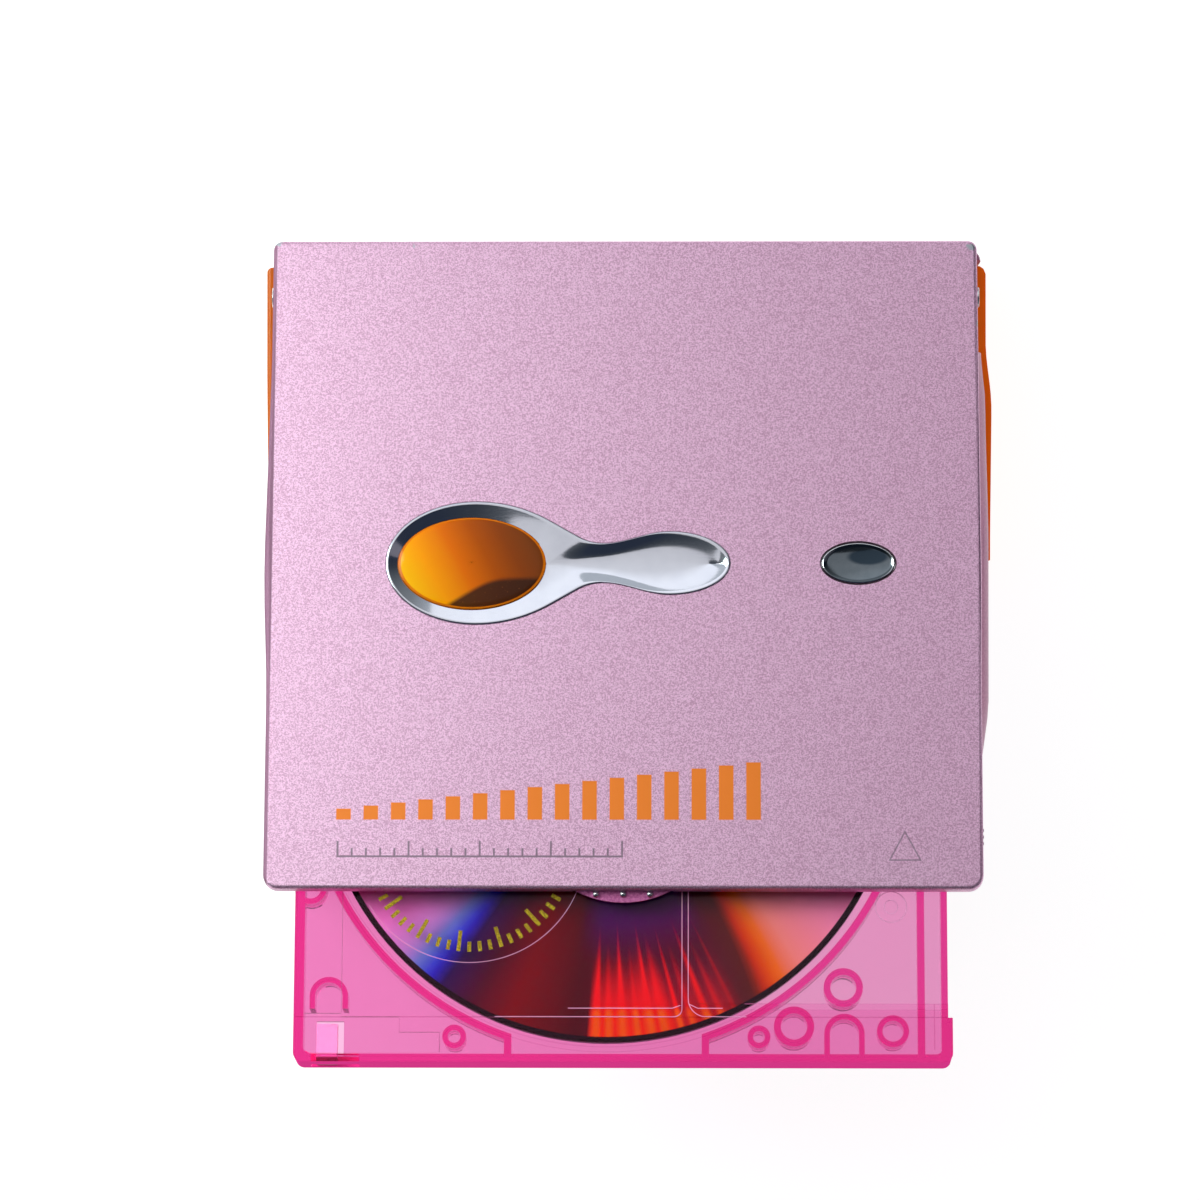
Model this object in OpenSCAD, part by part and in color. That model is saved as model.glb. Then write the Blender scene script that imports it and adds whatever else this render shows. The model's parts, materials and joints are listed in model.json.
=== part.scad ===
// Portable disc player, shown with its lid ajar and a disc cartridge half drawn out.
// Millimetres. The origin is the middle of the case's underside, +Z up, +Y towards the hinge.

/* [Cartridge] */
// Width of the disc cartridge
cart_w = 72; // [70:0.5:76]
// Depth of the disc cartridge, along its sliding direction
cart_d = 68; // [66:0.5:72]
// Thickness of the disc cartridge
cart_h = 5; // [4.8:0.1:6]
// Skin of each moulded cartridge half
cart_skin = 0.85; // [0.7:0.05:1]
// Thickness of the cartridge's outer walls
cart_wall = 1; // [0.8:0.1:1.2]
// Thickness of the ribs moulded inside the cartridge
cart_rib = 0.8; // [0.6:0.05:1]
// Radius of the disc
disc_r = 32; // [30:0.5:32]
// Thickness of the disc
disc_t = 1.2; // [1:0.1:1.4]
// Room between the disc's rim and its well
disc_room = 0.9; // [0.6:0.1:1]
// How far the cartridge is drawn out in the pose at rest
cart_out = 21; // [10:0.5:24]

/* [Clearances] */
// Gap between the cartridge's sides and its holder
cart_side_gap = 0.15; // [0.1:0.01:0.3]
// Gap above and below the cartridge in its holder
cart_top_gap = 0.1; // [0.08:0.01:0.2]
// Gap between the holder and the case at each side
swing_gap = 0.3; // [0.2:0.05:0.5]
// Gap between two pieces that are screwed or snapped together
seat_gap = 0.05; // [0.03:0.01:0.1]
// Radial gap of a pin or shaft that turns in its hole
run_gap = 0.05; // [0.03:0.01:0.08]
// Gap round a key or a slider
key_gap = 0.1; // [0.06:0.01:0.2]

/* [Lid] */
// Angle that the lid stands open in the pose at rest
lid_open = 12; // [6:0.5:16]
// Thickness of the lid's plate
lid_t = 0.7; // [0.5:0.05:1]
// Thickness of the lid's turned-down edge
lid_skirt_t = 0.6; // [0.4:0.05:0.8]
// Room for the keys and their board under the lid's plate
key_room = 1.1; // [1.1:0.05:1.6]
// How far the lid reaches past the front of the case
lid_front_over = 1.9; // [1:0.1:2.4]
// Radius of the lid's upper edge
lid_edge_r = 0.45; // [0.3:0.05:0.6]
// Corner radius at the front of the lid
lid_front_r = 1.6; // [1.2:0.1:3]
// Corner radius at the rear of the lid
lid_rear_r = 1; // [0.9:0.1:2]
// Swell of the lid's left edge
lid_bow_left = 0.45; // [0:0.05:0.6]
// Swell of the lid's right edge
lid_bow_right = 0.15; // [0:0.05:0.6]
// Half width of the finger tab under the lid's front edge
tab_half_w = 5.2; // [4:0.1:8]
// How far the finger tab shows in front of the lid
tab_reach = 1.3; // [0.8:0.1:2]

/* [Keys] */
// Place of the chrome bezel's centre line, from the lid's middle
key_y = -0.3; // [-3:0.1:3]
// Place of the bezel's large lobe, from the lid's middle
lobe_x = -16.4; // [-17:0.1:-15]
// Half length of the large lobe's round end
lobe_a = 10; // [9.4:0.1:11]
// Half height of the large lobe
lobe_b = 7; // [6.8:0.1:8]
// Radius of the shoulder beside the large lobe
shoulder_r = 16.4; // [15:0.1:18]
// Half height of the bezel's waist
waist_b = 2.25; // [2:0.05:2.6]
// Place of the bezel's small lobe, from the lid's middle
tail_x = 5.1; // [4:0.1:7]
// Half length of the small lobe's round end
tail_a = 6.7; // [5:0.1:8]
// Half height of the small lobe
tail_b = 3.6; // [3:0.05:4]
// Half length of the translucent play key
play_a = 8.2; // [7:0.1:8.4]
// Half height of the translucent play key
play_b = 5.2; // [4.6:0.1:5.4]
// Place of the oval stop key, from the lid's middle
stop_x = 25.95; // [22:0.1:28]
// Half length of the oval stop key
stop_a = 4.05; // [3:0.1:5]
// Half height of the oval stop key
stop_b = 2.3; // [1.8:0.1:3]
// How far a key goes down
key_travel = 0.25; // [0.1:0.05:0.25]

/* [Holder] */
// Sheet thickness of the steel cartridge holder
holder_t = 0.3; // [0.25:0.05:0.4]
// How far the holder's lower lips reach under the cartridge
holder_lip = 2.2; // [1.5:0.1:3]
// Place of the hinge, ahead of the seated cartridge's rear edge
hinge_back = 1.6; // [1.2:0.1:2.4]
// Height of the hinge over the seated cartridge's underside
hinge_rise = 1.7; // [1.4:0.1:2.4]
// Radius of the hinge pins
pin_r = 0.75; // [0.6:0.05:0.9]

/* [Case] */
// Thickness of the case's floor
floor_t = 1; // [0.8:0.1:1.4]
// Room between the floor and the deck for the mechanism
mech_room = 7.2; // [7.2:0.1:9]
// Thickness of the deck under the cartridge
deck_t = 0.8; // [0.6:0.1:1]
// Height of the seated cartridge over the deck
cart_lift = 0.8; // [0.8:0.1:1.2]
// Thickness of the frame's side beams
beam_t = 1.6; // [1.4:0.1:2]
// Thickness of the case's left and front walls
wall_t = 1.1; // [1:0.1:1.4]
// Thickness of the case's right wall
right_wall_t = 1.65; // [1.6:0.05:2]
// Room behind the seated cartridge, up to the case's rear face
rear_room = 3.8; // [3.6:0.1:5]
// Swell of the right side
hump = 0.95; // [0.6:0.05:1.1]
// Corner radius at the front of the case
case_front_r = 4; // [3.4:0.1:4.4]
// Corner radius at the rear of the case
case_rear_r = 1.5; // [1.2:0.1:2]
// Height of the rounding along the case's lower edge
case_edge_r = 1.6; // [1:0.1:2]

/* [Side rails] */
// Height of both orange rails
rail_h = 6.6; // [6.5:0.1:7]
// How far the rails stand out of the recesses
rail_out = 1.3; // [1:0.1:1.6]
// Length of both rails
rail_l = 34.3; // [30:0.1:35]
// Room between the rails' rear ends and the case's rear face
rail_back = 1.6; // [1.4:0.1:3]

/* [Battery] */
// Room beside the battery's inner end, for its contact springs
batt_end = 9.6; // [9.4:0.1:14]
// Width of the battery
batt_w = 17; // [15:0.5:17]
// Thickness of the battery
batt_t = 6.1; // [5:0.1:6.1]

/* [Mechanism] */
// Radius of the spindle motor
motor_r = 7.2; // [6:0.1:7.4]
// Radius of the turntable
table_r = 5.2; // [4.6:0.1:5.6]
// Radius of the two guide rods
rod_r = 0.8; // [0.6:0.05:1]
// Distance from the sled's middle to each guide rod
rod_off = 9.2; // [9:0.1:9.4]
// Radius of the lead screw over its thread
lead_r = 0.9; // [0.8:0.05:1.1]
// Distance between the lead screw's threads
lead_pitch = 0.8; // [0.8:0.1:1.2]
// Radius of the objective lens
lens_r = 2; // [1.5:0.1:2.4]
// Distance of the lens from the spindle in the pose at rest
lens_rest = 17.8; // [16:0.1:20]

/* [Connections] */
// Diameter of the headphone plug's socket
jack_d = 3.6; // [3.5:0.05:3.7]
// Depth of the headphone plug's socket
jack_l = 14.6; // [14:0.1:15]
// Place of the headphone socket, behind the case's front face
jack_in = 10.5; // [10.5:0.1:12]

/* [Hidden] */
$fn = 48;

// Heights, from the floor up
deck_z = floor_t + mech_room;
deck_top = deck_z + deck_t;
cart_z = deck_top + cart_lift;
holder_z0 = cart_z - cart_top_gap - holder_t;
holder_z1 = cart_z + cart_h + cart_top_gap + holder_t;
lid_z = holder_z1;
lid_in_z = lid_z + key_room;
lid_top = lid_in_z + lid_t;
lid_gap = 0.25;
case_top = lid_z - lid_gap;
front_rim_z = cart_z - 0.6;

// Half widths, from the cartridge out
holder_in = cart_w / 2 + cart_side_gap;
holder_out = holder_in + holder_t;
frame_in = holder_out + swing_gap;
frame_out = frame_in + beam_t;
case_in = frame_out + 2 * seat_gap;
case_left = case_in + wall_t;
case_right = case_in + right_wall_t;
lid_half_w = case_left - 0.1;

// Depths. The middle of the lid is y = 0
disc_x = -1.78;
cart_mid_y = -0.6;
cart_y0 = cart_mid_y - cart_d / 2;
cart_y1 = cart_mid_y + cart_d / 2;
case_y0 = cart_y0 - 0.4;
case_y1 = cart_y1 + rear_room;
case_in_y0 = case_y0 + wall_t;
case_in_y1 = case_y1 - 0.9;
lid_y0 = case_y0 - lid_front_over;
lid_y1 = case_y1 - 0.3;
disc_v = cart_d / 2 + 0.34;
disc_y = cart_y0 + disc_v;
hinge_y = cart_y1 - hinge_back;
hinge_z = cart_z + hinge_rise;

// Places inside the case
post_x = case_in - 3;
post_y0 = case_in_y0 + 2.9;
post_y1 = case_in_y1 - 2.6;
post_r = 1.8;
pad_x = frame_in - 10.75;
screw_r = 0.55;
head_r = 1.25;
board_z = floor_t + 0.7;
board_t = 0.8;
board_top = board_z + board_t;
chassis_t = 0.6;
chassis_z = floor_t + 2;
chassis_top = chassis_z + chassis_t;
rod_z = chassis_top + 2.4;
lead_y = disc_y - rod_off - 4.1;
board_y1 = lead_y - 4.9;
chassis_x0 = disc_x - 13.5;
rod_x0 = disc_x + 7;
rod_x1 = case_in - 1.3;
rod_end = 0.8;
sled_top = deck_z - 0.2;
sled_in = 6;
sled_out = 6.5;
lens_in = 14.5;
lens_out = disc_r - 1;
batt_y0 = disc_y + rod_off + 3.6;
batt_y1 = batt_y0 + batt_w;
batt_z = floor_t + 0.2;
batt_x1 = case_in - 0.3;
batt_x0 = -case_in + batt_end;
rail_z = batt_z;
rail_top = rail_z + rail_h;
rail_y1 = case_y1 - rail_back;
rail_y0 = rail_y1 - rail_l;
jack_y = case_y0 + jack_in;
spring_r = 1.2;
spring_wire = 0.14;
spring_arm = 3.2;
spring_deep = 1;
door_in = case_in + 1;
door_x = case_in + 1.1;
door_z = rail_z + 0.3;
door_pin_r = 0.4;
door_foot_r = 0.55;
key_rim = 0.5;
key_board_t = 0.25;
dome_h = 0.16;
key_rise = key_room - seat_gap - key_board_t - dome_h - key_travel - 0.04;
play_x = lobe_x - 0.44;
screw_y = [cart_y0 + 16.6, cart_y1 - 17.9];
screw_x = cart_w / 2 - 5.5;

// Points on an arc round c, from angle a0 to angle a1
function arc(c, r, a0, a1, n) =
    [for (i = [0:n]) c + r * [cos(a0 + (a1 - a0) * i / n), sin(a0 + (a1 - a0) * i / n)]];

// A smooth step that rises from 0 at a to 1 at b
function ease(x, a, b) = let (t = min(1, max(0, (x - a) / (b - a)))) t * t * (3 - 2 * t);

// The points of a closed outline, each moved out by d along its own normal
function grown(p, d) = let (n = len(p))
    [for (i = [0:n - 1])
        let (t = p[(i + 1) % n] - p[(i + n - 1) % n], l = norm(t)) p[i] + d * [t[1], -t[0]] / l];

// Swell of the lid's sides along its depth, 0 to 1
function lid_swell(y) = ease(y, -16, -1) * ease(y, 25, -1);

// Outline of the lid, drawn in by g
function lid_outline(g) = let (w = lid_half_w, rf = lid_front_r, rr = lid_rear_r)
    concat(
        arc([-w + rf, lid_y0 + rf], rf - g, 180, 270, 7),
        arc([w - rf, lid_y0 + rf], rf - g, 270, 360, 7),
        [for (i = [0:13]) let (y = -20 + 48 * i / 13) [w - g + lid_bow_right * lid_swell(y), y]],
        arc([w - rr, lid_y1 - rr], rr - g, 0, 90, 6),
        arc([-w + rr, lid_y1 - rr], rr - g, 90, 180, 6),
        [for (i = [0:13]) let (y = 28 - 48 * i / 13) [-w + g - lid_bow_left * lid_swell(y), y]]);

// Swell of the case's right side along its depth, 0 to 1
function hump_swell(y) =
    (0.6 * ease(y, 26, 19.5) + 0.4 * ease(y, 20, 3)) * ease(y, -22.5, -13.5);

// Outline of the case, drawn in by g, with the share k of its hump
function case_outline(g, k) = let (rf = case_front_r, rr = case_rear_r, l = case_left, r = case_right)
    concat(
        arc([-l + rf, case_y0 + rf], rf - g, 180, 270, 8),
        arc([r - rf, case_y0 + rf], rf - g, 270, 360, 8),
        [for (i = [0:25]) let (y = -24 + 51 * i / 25) [r - g + hump * k * hump_swell(y), y]],
        arc([r - rr, case_y1 - rr], rr - g, 0, 90, 6),
        arc([-l + rr, case_y1 - rr], rr - g, 90, 180, 6));

// Upper half of the bezel's outline, from its left end to its right end: an ellipse, an arc,
// a straight shoulder, a hollow waist, a wave up to the tail and a second ellipse
shoulder_a = 30;
shoulder_x = lobe_x + shoulder_r * sin(shoulder_a);
shoulder_y = lobe_b - shoulder_r * (1 - cos(shoulder_a));
hollow_r = 5.4;
hollow_y = waist_b + hollow_r * (1 - cos(shoulder_a));
hollow_x = shoulder_x + (shoulder_y - hollow_y) / tan(shoulder_a);
waist_x = hollow_x + hollow_r * sin(shoulder_a);
function bezel_half() = concat(
    [for (a = [180:-7.5:97.5]) [lobe_x + lobe_a * cos(a), lobe_b * sin(a)]],
    [for (a = [0:5:shoulder_a]) [lobe_x + shoulder_r * sin(a), lobe_b - shoulder_r * (1 - cos(a))]],
    [for (a = [shoulder_a:-7.5:0])
        [waist_x - hollow_r * sin(a), waist_b + hollow_r * (1 - cos(a))]],
    [for (i = [1:9]) let (t = i / 10)
        [waist_x + (tail_x - waist_x) * t, waist_b + (tail_b - waist_b) * (1 - cos(180 * t)) / 2]],
    [for (a = [90:-9:0]) [tail_x + tail_a * cos(a), tail_b * sin(a)]]);
bezel_outline = let (h = bezel_half(), n = len(h))
    concat([for (i = [n - 1:-1:0]) h[i] + [0, key_y]],
        [for (i = [1:n - 2]) [h[i][0], key_y - h[i][1]]]);

// A solid skinned over a stack of rings with equal numbers of points, given as [outline, z].
// Each end is a fan of triangles round its middle
module loft(rings) {
    n = len(rings[0][0]);
    m = len(rings);
    points = [for (r = rings) for (p = r[0]) [p[0], p[1], r[1]]];
    ends = [for (j = [0, m - 1]) [0, 0, rings[j][1]]];
    walls = [for (j = [0:m - 2]) for (i = [0:n - 1])
        let (a = j * n + i, b = j * n + (i + 1) % n) each [[a, a + n, b], [b, a + n, b + n]]];
    fans = [for (i = [0:n - 1])
        let (k = (i + 1) % n, t = (m - 1) * n) each [[i, k, m * n], [t + k, t + i, m * n + 1]]];
    polyhedron(concat(points, ends), concat(walls, fans), convexity = 4);
}

// A rectangle centred on the origin with true round corners
module rounded(w, d, r) {
    square([w - 2 * r, d], center = true);
    square([w, d - 2 * r], center = true);
    for (x = [-1, 1], y = [-1, 1]) translate([x * (w / 2 - r), y * (d / 2 - r)]) circle(r);
}

// A block from corner a to corner b
module block(a, b) {
    translate(a) cube(b - a);
}

// A block from corner a to corner b with its upright edges rounded
module soft_block(a, b, r) {
    translate([(a[0] + b[0]) / 2, (a[1] + b[1]) / 2, a[2]]) linear_extrude(b[2] - a[2])
        rounded(b[0] - a[0], b[1] - a[1], r);
}

// A round bar along X from x0 to x1
module bar_x(r, x0, x1) {
    translate([x0, 0, 0]) rotate([0, 90, 0]) cylinder(r = r, h = x1 - x0);
}

// An upright oval with half axes a and b
module oval(a, b, h) {
    scale([a, b, 1]) cylinder(r = 1, h = h, $fn = 96);
}

// A round-headed screw with a slot across, its head's underside at z = 0 and its shank below
module screw(head, shank, head_h, length) {
    difference() {
        union() {
            cylinder(r = head, h = head_h);
            translate([0, 0, -length]) cylinder(r = shank, h = length + 0.1);
        }
        translate([0, 0, head_h]) cube([2.2 * head, 0.3, head_h], center = true);
    }
}

// Moves its children with the lid, from closed to the pose at rest
module at_lid() {
    translate([0, hinge_y, hinge_z]) rotate([-lid_open, 0, 0])
        translate([0, -hinge_y, -hinge_z]) children();
}

// Places its children in the cartridge's own frame: x across, y from its front edge, z from below
module at_cartridge() {
    at_lid() translate([0, cart_y0 - cart_out, cart_z]) children();
}

// The space that the closed and the open lid take, with a gap under it
module lid_sweep(gap) {
    reach = 60;
    block([-reach, -reach, lid_z - gap], [reach, reach, lid_z + reach]);
    at_lid() block([-reach, -reach, lid_z - gap], [reach, reach, lid_z + reach]);
}

// Inner outline of the case, drawn in by g
module case_inside(g) {
    translate([0, (case_in_y0 + case_in_y1) / 2])
        rounded(2 * (case_in - g), case_in_y1 - case_in_y0 - 2 * g, 1.6);
}

// Recess for a side rail, on the side s
module rail_recess(s, low, top) {
    x0 = s > 0 ? door_in - 0.2 : case_in + wall_t - 0.3;
    w = 4;
    block([min(s * x0, s * (x0 + w)), rail_y0 - 0.2, low],
        [max(s * x0, s * (x0 + w)), rail_y1 + 0.2, top]);
}

module case_body() {
    low = [for (a = [0:22.5:90])
        [case_outline(case_edge_r * 0.8 * (1 - sin(a)), 0.35 + 0.3 * sin(a)), case_edge_r * (1 - cos(a))]];
    high = [[1.35, 1, 0], [3.6, 0.92, 0.02], [4.8, 0.7, 0.08], [5.7, 0.42, 0.2], [6.75, 0.1, 0.45]];
    hump_z = cart_z - 1.6;
    loft(concat(low,
        [[case_outline(0, 1), case_edge_r + 1.6], [case_outline(0, 1), hump_z]],
        [for (h = high) [case_outline(h[2], h[1]), hump_z + h[0] * (case_top - hump_z) / 6.75]]));
}

// Lower case: one thin moulded tub with its openings
module base_shell() {
    color("#a9789c") difference() {
        case_body();
        translate([0, 0, floor_t]) linear_extrude(case_top) case_inside(0);
        lid_sweep(lid_gap);
        block([-frame_in, case_y0 - 1, front_rim_z], [frame_in, case_in_y0 + 1, case_top + 1]);
        rail_recess(1, rail_z - 0.7, rail_top + 0.25);
        rail_recess(-1, rail_z - seat_gap, rail_top + seat_gap);
        block([case_left - 0.1, rail_y1 - 10.2, rail_top], [case_right + 3, rail_y1 + 0.2, case_top + 1]);
        block([case_in - 1, batt_y0 - 0.3, batt_z - 0.1],
            [case_right + 3, batt_y1 + 0.3, batt_z + batt_t + 0.3]);
        translate([0, jack_y, board_top + 2.6]) bar_x(2.9 + seat_gap, -case_left - 1, -case_in + 1);
        translate([0, hinge_y, hinge_z]) {
            bar_x(pin_r + 0.02, -case_left - 1, case_right + 1);
            for (s = [-1, 1]) scale([s, 1, 1]) bar_x(1.25, case_left - 0.3, case_right + 2);
        }
        translate([door_x, 0, door_z]) rotate([-90, 0, 0]) {
            translate([0, 0, rail_y0 - 0.9]) cylinder(r = door_pin_r + run_gap, h = rail_l + 1.8);
            translate([0, 0, rail_y0 - 0.2]) cylinder(r = door_foot_r + 2 * run_gap, h = rail_l + 0.4);
        }
        block([case_in - 1, hold_y - 3.2, hold_z - 1.8], [case_in + 0.5, hold_y + 3.4, hold_z + 1.8]);
        block([case_in, hold_y - 1.2 - key_gap, hold_z - 0.9 - key_gap],
            [case_right + 2, hold_y + 1.2 + hold_travel + key_gap, hold_z + 0.9 + key_gap]);
        block([-case_in - 0.5, open_y0 - open_travel - 0.4, open_z - 1.4],
            [-case_in + 1, open_y1 + 0.4, open_z + 1.4]);
        block([-case_in - 0.5, open_y0 - open_travel - 0.4, open_z],
            [-case_in + 1, open_y0 + 4, case_top + 1]);
        block([-case_left - 2, open_knob_y0 - open_travel - key_gap, open_z - 0.7 - key_gap],
            [-case_in, open_knob_y1 + key_gap, open_z + 0.7 + key_gap]);
        for (x = [-post_x, post_x], y = [post_y0, post_y1]) translate([x, y, -1]) {
            cylinder(r = screw_r + 0.1, h = 4);
            cylinder(r = head_r + 0.1, h = 1.5);
        }
    }
}

// Inner frame: deck under the cartridge, side beams with the hinge holes, and screw posts
module mid_frame() {
    y0 = case_in_y0 + 0.1;
    y1 = case_in_y1 - 0.1;
    color("#8d8790") difference() {
        union() {
            intersection() {
                translate([0, 0, deck_z]) linear_extrude(case_top) case_inside(0.1);
                union() {
                    block([-frame_out, y0, deck_z], [frame_out, y1, deck_top]);
                    for (s = [-1, 1])
                        translate([s * (frame_in + frame_out) / 2 - beam_t / 2, y0, deck_z])
                            cube([beam_t, y1 - y0, case_top - deck_z - 0.35]);
                    block([-frame_out, y1 - 1.3, deck_z], [frame_out, y1, cart_z + 3.6]);
                }
            }
            for (x = [-post_x, post_x], y = [post_y0, post_y1]) translate([x, y, floor_t + seat_gap])
                cylinder(r = post_r, h = mech_room);
            for (s = [-1, 1], y = [cart_y0 + 9, cart_y1 - 12]) translate([s * pad_x, y, deck_top - 0.1])
                cylinder(r1 = 2.4, r2 = 1.6, h = cart_lift - 0.25, $fn = 40);
        }
        lid_sweep(lid_gap + 0.2);
        translate([disc_x, disc_y, 0]) cylinder(r = motor_r + 0.2, h = 30, $fn = 96);
        translate([disc_x, disc_y, 0]) soft_block([lens_in - 3.4, -3.6, 0], [lens_out + 3.4, 3.6, 30], 1);
        for (i = [0, 1]) let (x = -frame_in + 6.25 + 9 * i)
            soft_block([x, disc_y - 12, 0], [x + 7, disc_y + 8, 30], 2);
        for (i = [0:2]) let (x = disc_x - 10.2 + 12.5 * i)
            soft_block([x, lead_y - 12, 0], [x + 11, lead_y - 3.6, 30], 2);
        translate([0, hinge_y, hinge_z]) {
            bar_x(pin_r + 0.02, -60, 60);
            for (s = [-1, 1]) scale([s, 1, 1]) spring_pocket();
        }
        block([-frame_out - 1, open_y0 - 0.4, open_z + 1], [-frame_out + 0.6, open_y0 + 3.4, 30]);
        for (x = [-post_x, post_x], y = [post_y0, post_y1]) translate([x, y, 0])
            cylinder(r = screw_r, h = 5.5);
    }
}

// Pocket for a lid spring in the frame's side beam, round the hinge's axis
module spring_pocket() {
    r = spring_r + spring_wire + 0.25;
    bar_x(r, frame_in - 1, frame_in + spring_deep);
    block([frame_in - 1, -spring_arm - 0.3, -r], [frame_in + spring_deep, 0, r]);
}

// Orange trim along the left side
module side_rail_left() {
    x0 = -(case_in + wall_t - 0.3);
    outer = -(case_left + rail_out);
    color("#f07d00") intersection() {
        translate([0, 0, rail_z]) linear_extrude(rail_h) polygon(concat(
            [[x0 - seat_gap, rail_y1 - 0.1], [x0 - seat_gap, rail_y0]],
            arc([outer + 0.65 + 0.3, rail_y0 + 0.8], 0.65, 270, 180, 6),
            [[outer + 0.12, rail_y1 - 19.6], [outer, rail_y1 - 11.6]],
            arc([outer + 0.65, rail_y1 - 0.75], 0.65, 180, 90, 6)));
        translate([0, 60, rail_z + rail_h / 2]) rotate([90, 0, 0]) linear_extrude(80)
            translate([-case_left, 0]) rounded(2 * rail_out, rail_h, 0.5);
    }
}

// Outer edge of the battery door seen from above: it follows the swell of the side
function door_edge(y) = case_left + rail_out + 0.65 * ease(y, 27, 19.5) - 0.17 * ease(y, 19, 3);

// Translucent battery door that makes the right rail. It turns on two short pins at its foot
module battery_door() {
    color("#f07d00") union() {
        intersection() {
            translate([0, 0, rail_z - 1]) linear_extrude(rail_h + 2) polygon(concat(
                [[door_in + 0.05, rail_y0]],
                [for (i = [0:24]) let (y = rail_y0 + 0.9 + (rail_l - 1.8) * i / 24)
                    [door_edge(y), y]],
                [[door_edge(rail_y1) - 0.25, rail_y1 - 0.3], [door_edge(rail_y1) - 0.7, rail_y1],
                    [door_in + 0.05, rail_y1]]));
            translate([0, 60, 0]) rotate([90, 0, 0]) linear_extrude(80) union() {
                translate([door_x, door_z]) circle(door_foot_r);
                polygon([[door_x - door_foot_r, door_z], [door_x + 0.36, door_z - 0.42],
                    [door_x + 1.5, door_z + 0.95], [door_x + 3, door_z + 3.4],
                    [door_x + 3, rail_top - 1], [door_x + 2, rail_top], [door_x - door_foot_r, rail_top]]);
            }
        }
        translate([door_x, 0, door_z]) rotate([-90, 0, 0]) translate([0, 0, rail_y0 - 0.6])
            cylinder(r = door_pin_r, h = rail_l + 1.2);
    }
}

// Flat rechargeable battery with a raised contact on its outer end
module battery() {
    r = 0.9;
    mid = [(batt_y0 + batt_y1) / 2, batt_z + batt_t / 2];
    color("#c9ccd2") translate([0, mid[0], mid[1]]) union() {
        translate([batt_x0, 0, 0]) rotate([90, 0, 90]) linear_extrude(batt_x1 - batt_x0 - 0.8)
            rounded(batt_w, batt_t, r);
        bar_x(1.6, batt_x1 - 0.9, batt_x1 - 0.2);
    }
}

// Contact springs at the inner end of the battery, bent from strip
module battery_contacts() {
    color("#c8b273") for (y = [batt_y0 + 4.2, batt_y1 - 4.2]) translate([0, y, 0]) {
        x = batt_x0 - 0.1;
        block([x - 0.3, -1.4, floor_t], [x, 1.4, batt_z + batt_t - 0.8]);
        block([x - 3.2, -1.4, floor_t], [x, 1.4, floor_t + 0.3]);
    }
}

// Printed board in the front and left of the case, cut out round the posts
module main_board() {
    color("#1f6b4a") difference() {
        translate([0, 0, board_z]) linear_extrude(board_t) intersection() {
            case_inside(0.4);
            union() {
                translate([-60, -60]) square([120, 60 + board_y1]);
                translate([-60, -60]) square([60 + chassis_x0 - 1.2, 60 + batt_y0 - 0.8]);
            }
        }
        for (x = [-post_x, post_x], y = [post_y0, post_y1]) translate([x, y, 0])
            cylinder(r = post_r + 0.3, h = 10);
        for (x = board_stud_x, y = [board_y1 - 3]) translate([x, y, 0]) cylinder(r = 0.8, h = 10);
    }
}
board_stud_x = [disc_x - 6.2, disc_x + 21.8];

// One flat chip with legs on two sides
module chip(w, d, h, legs) {
    soft_block([-w / 2, -d / 2, 0.1], [w / 2, d / 2, h], 0.3);
    for (s = [-1, 1], i = [0:legs - 1]) {
        y = (i - (legs - 1) / 2) * d / legs;
        translate([s * (w / 2 + 0.35), y, 0.2]) cube([0.9, 0.3, 0.4], center = true);
    }
}

// Chips, coils and capacitors on the board
module board_parts() {
    mid = (case_in_y0 + board_y1) / 2 - 1;
    color("#2b2d33") translate([0, 0, board_top]) {
        translate([disc_x + 3.8, mid, 0]) chip(11, 9, 1.3, 9);
        translate([disc_x + 23.8, mid, 0]) chip(7, 7, 1.2, 6);
        translate([-case_in + 9.45, disc_y - 2, 0]) chip(8, 10, 1.3, 8);
        for (i = [0, 1]) translate([disc_x - 16.2 + 4.5 * i, case_in_y0 + 4, 0]) cylinder(r = 1.6, h = 3.4);
        for (i = [0, 1]) translate([disc_x + 12.8 + 3.5 * i, case_in_y0 + 2.6, 0])
            soft_block([-1.3, -1, 0], [1.3, 1, 1.6], 0.2);
        for (i = [0, 1]) translate([chassis_x0 - 6.7, disc_y + 5.2 + 3.4 * i, 0])
            soft_block([-1.6, -1.1, 0], [1.6, 1.1, 1.8], 0.2);
    }
}

// Socket for a headphone plug, with its round collar in the case's left wall
module headphone_jack() {
    z = board_top + 2.6;
    color("#2a2a2e") translate([0, jack_y, 0]) difference() {
        union() {
            block([-case_in + 0.1, -3.2, board_top], [-case_left + jack_l + 0.7, 3.2, board_top + 5.2]);
            translate([0, 0, z]) bar_x(2.9, -case_left, -case_in + 1);
        }
        translate([0, 0, z]) bar_x(jack_d / 2, -case_left - 1, -case_left + jack_l);
    }
}

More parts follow.
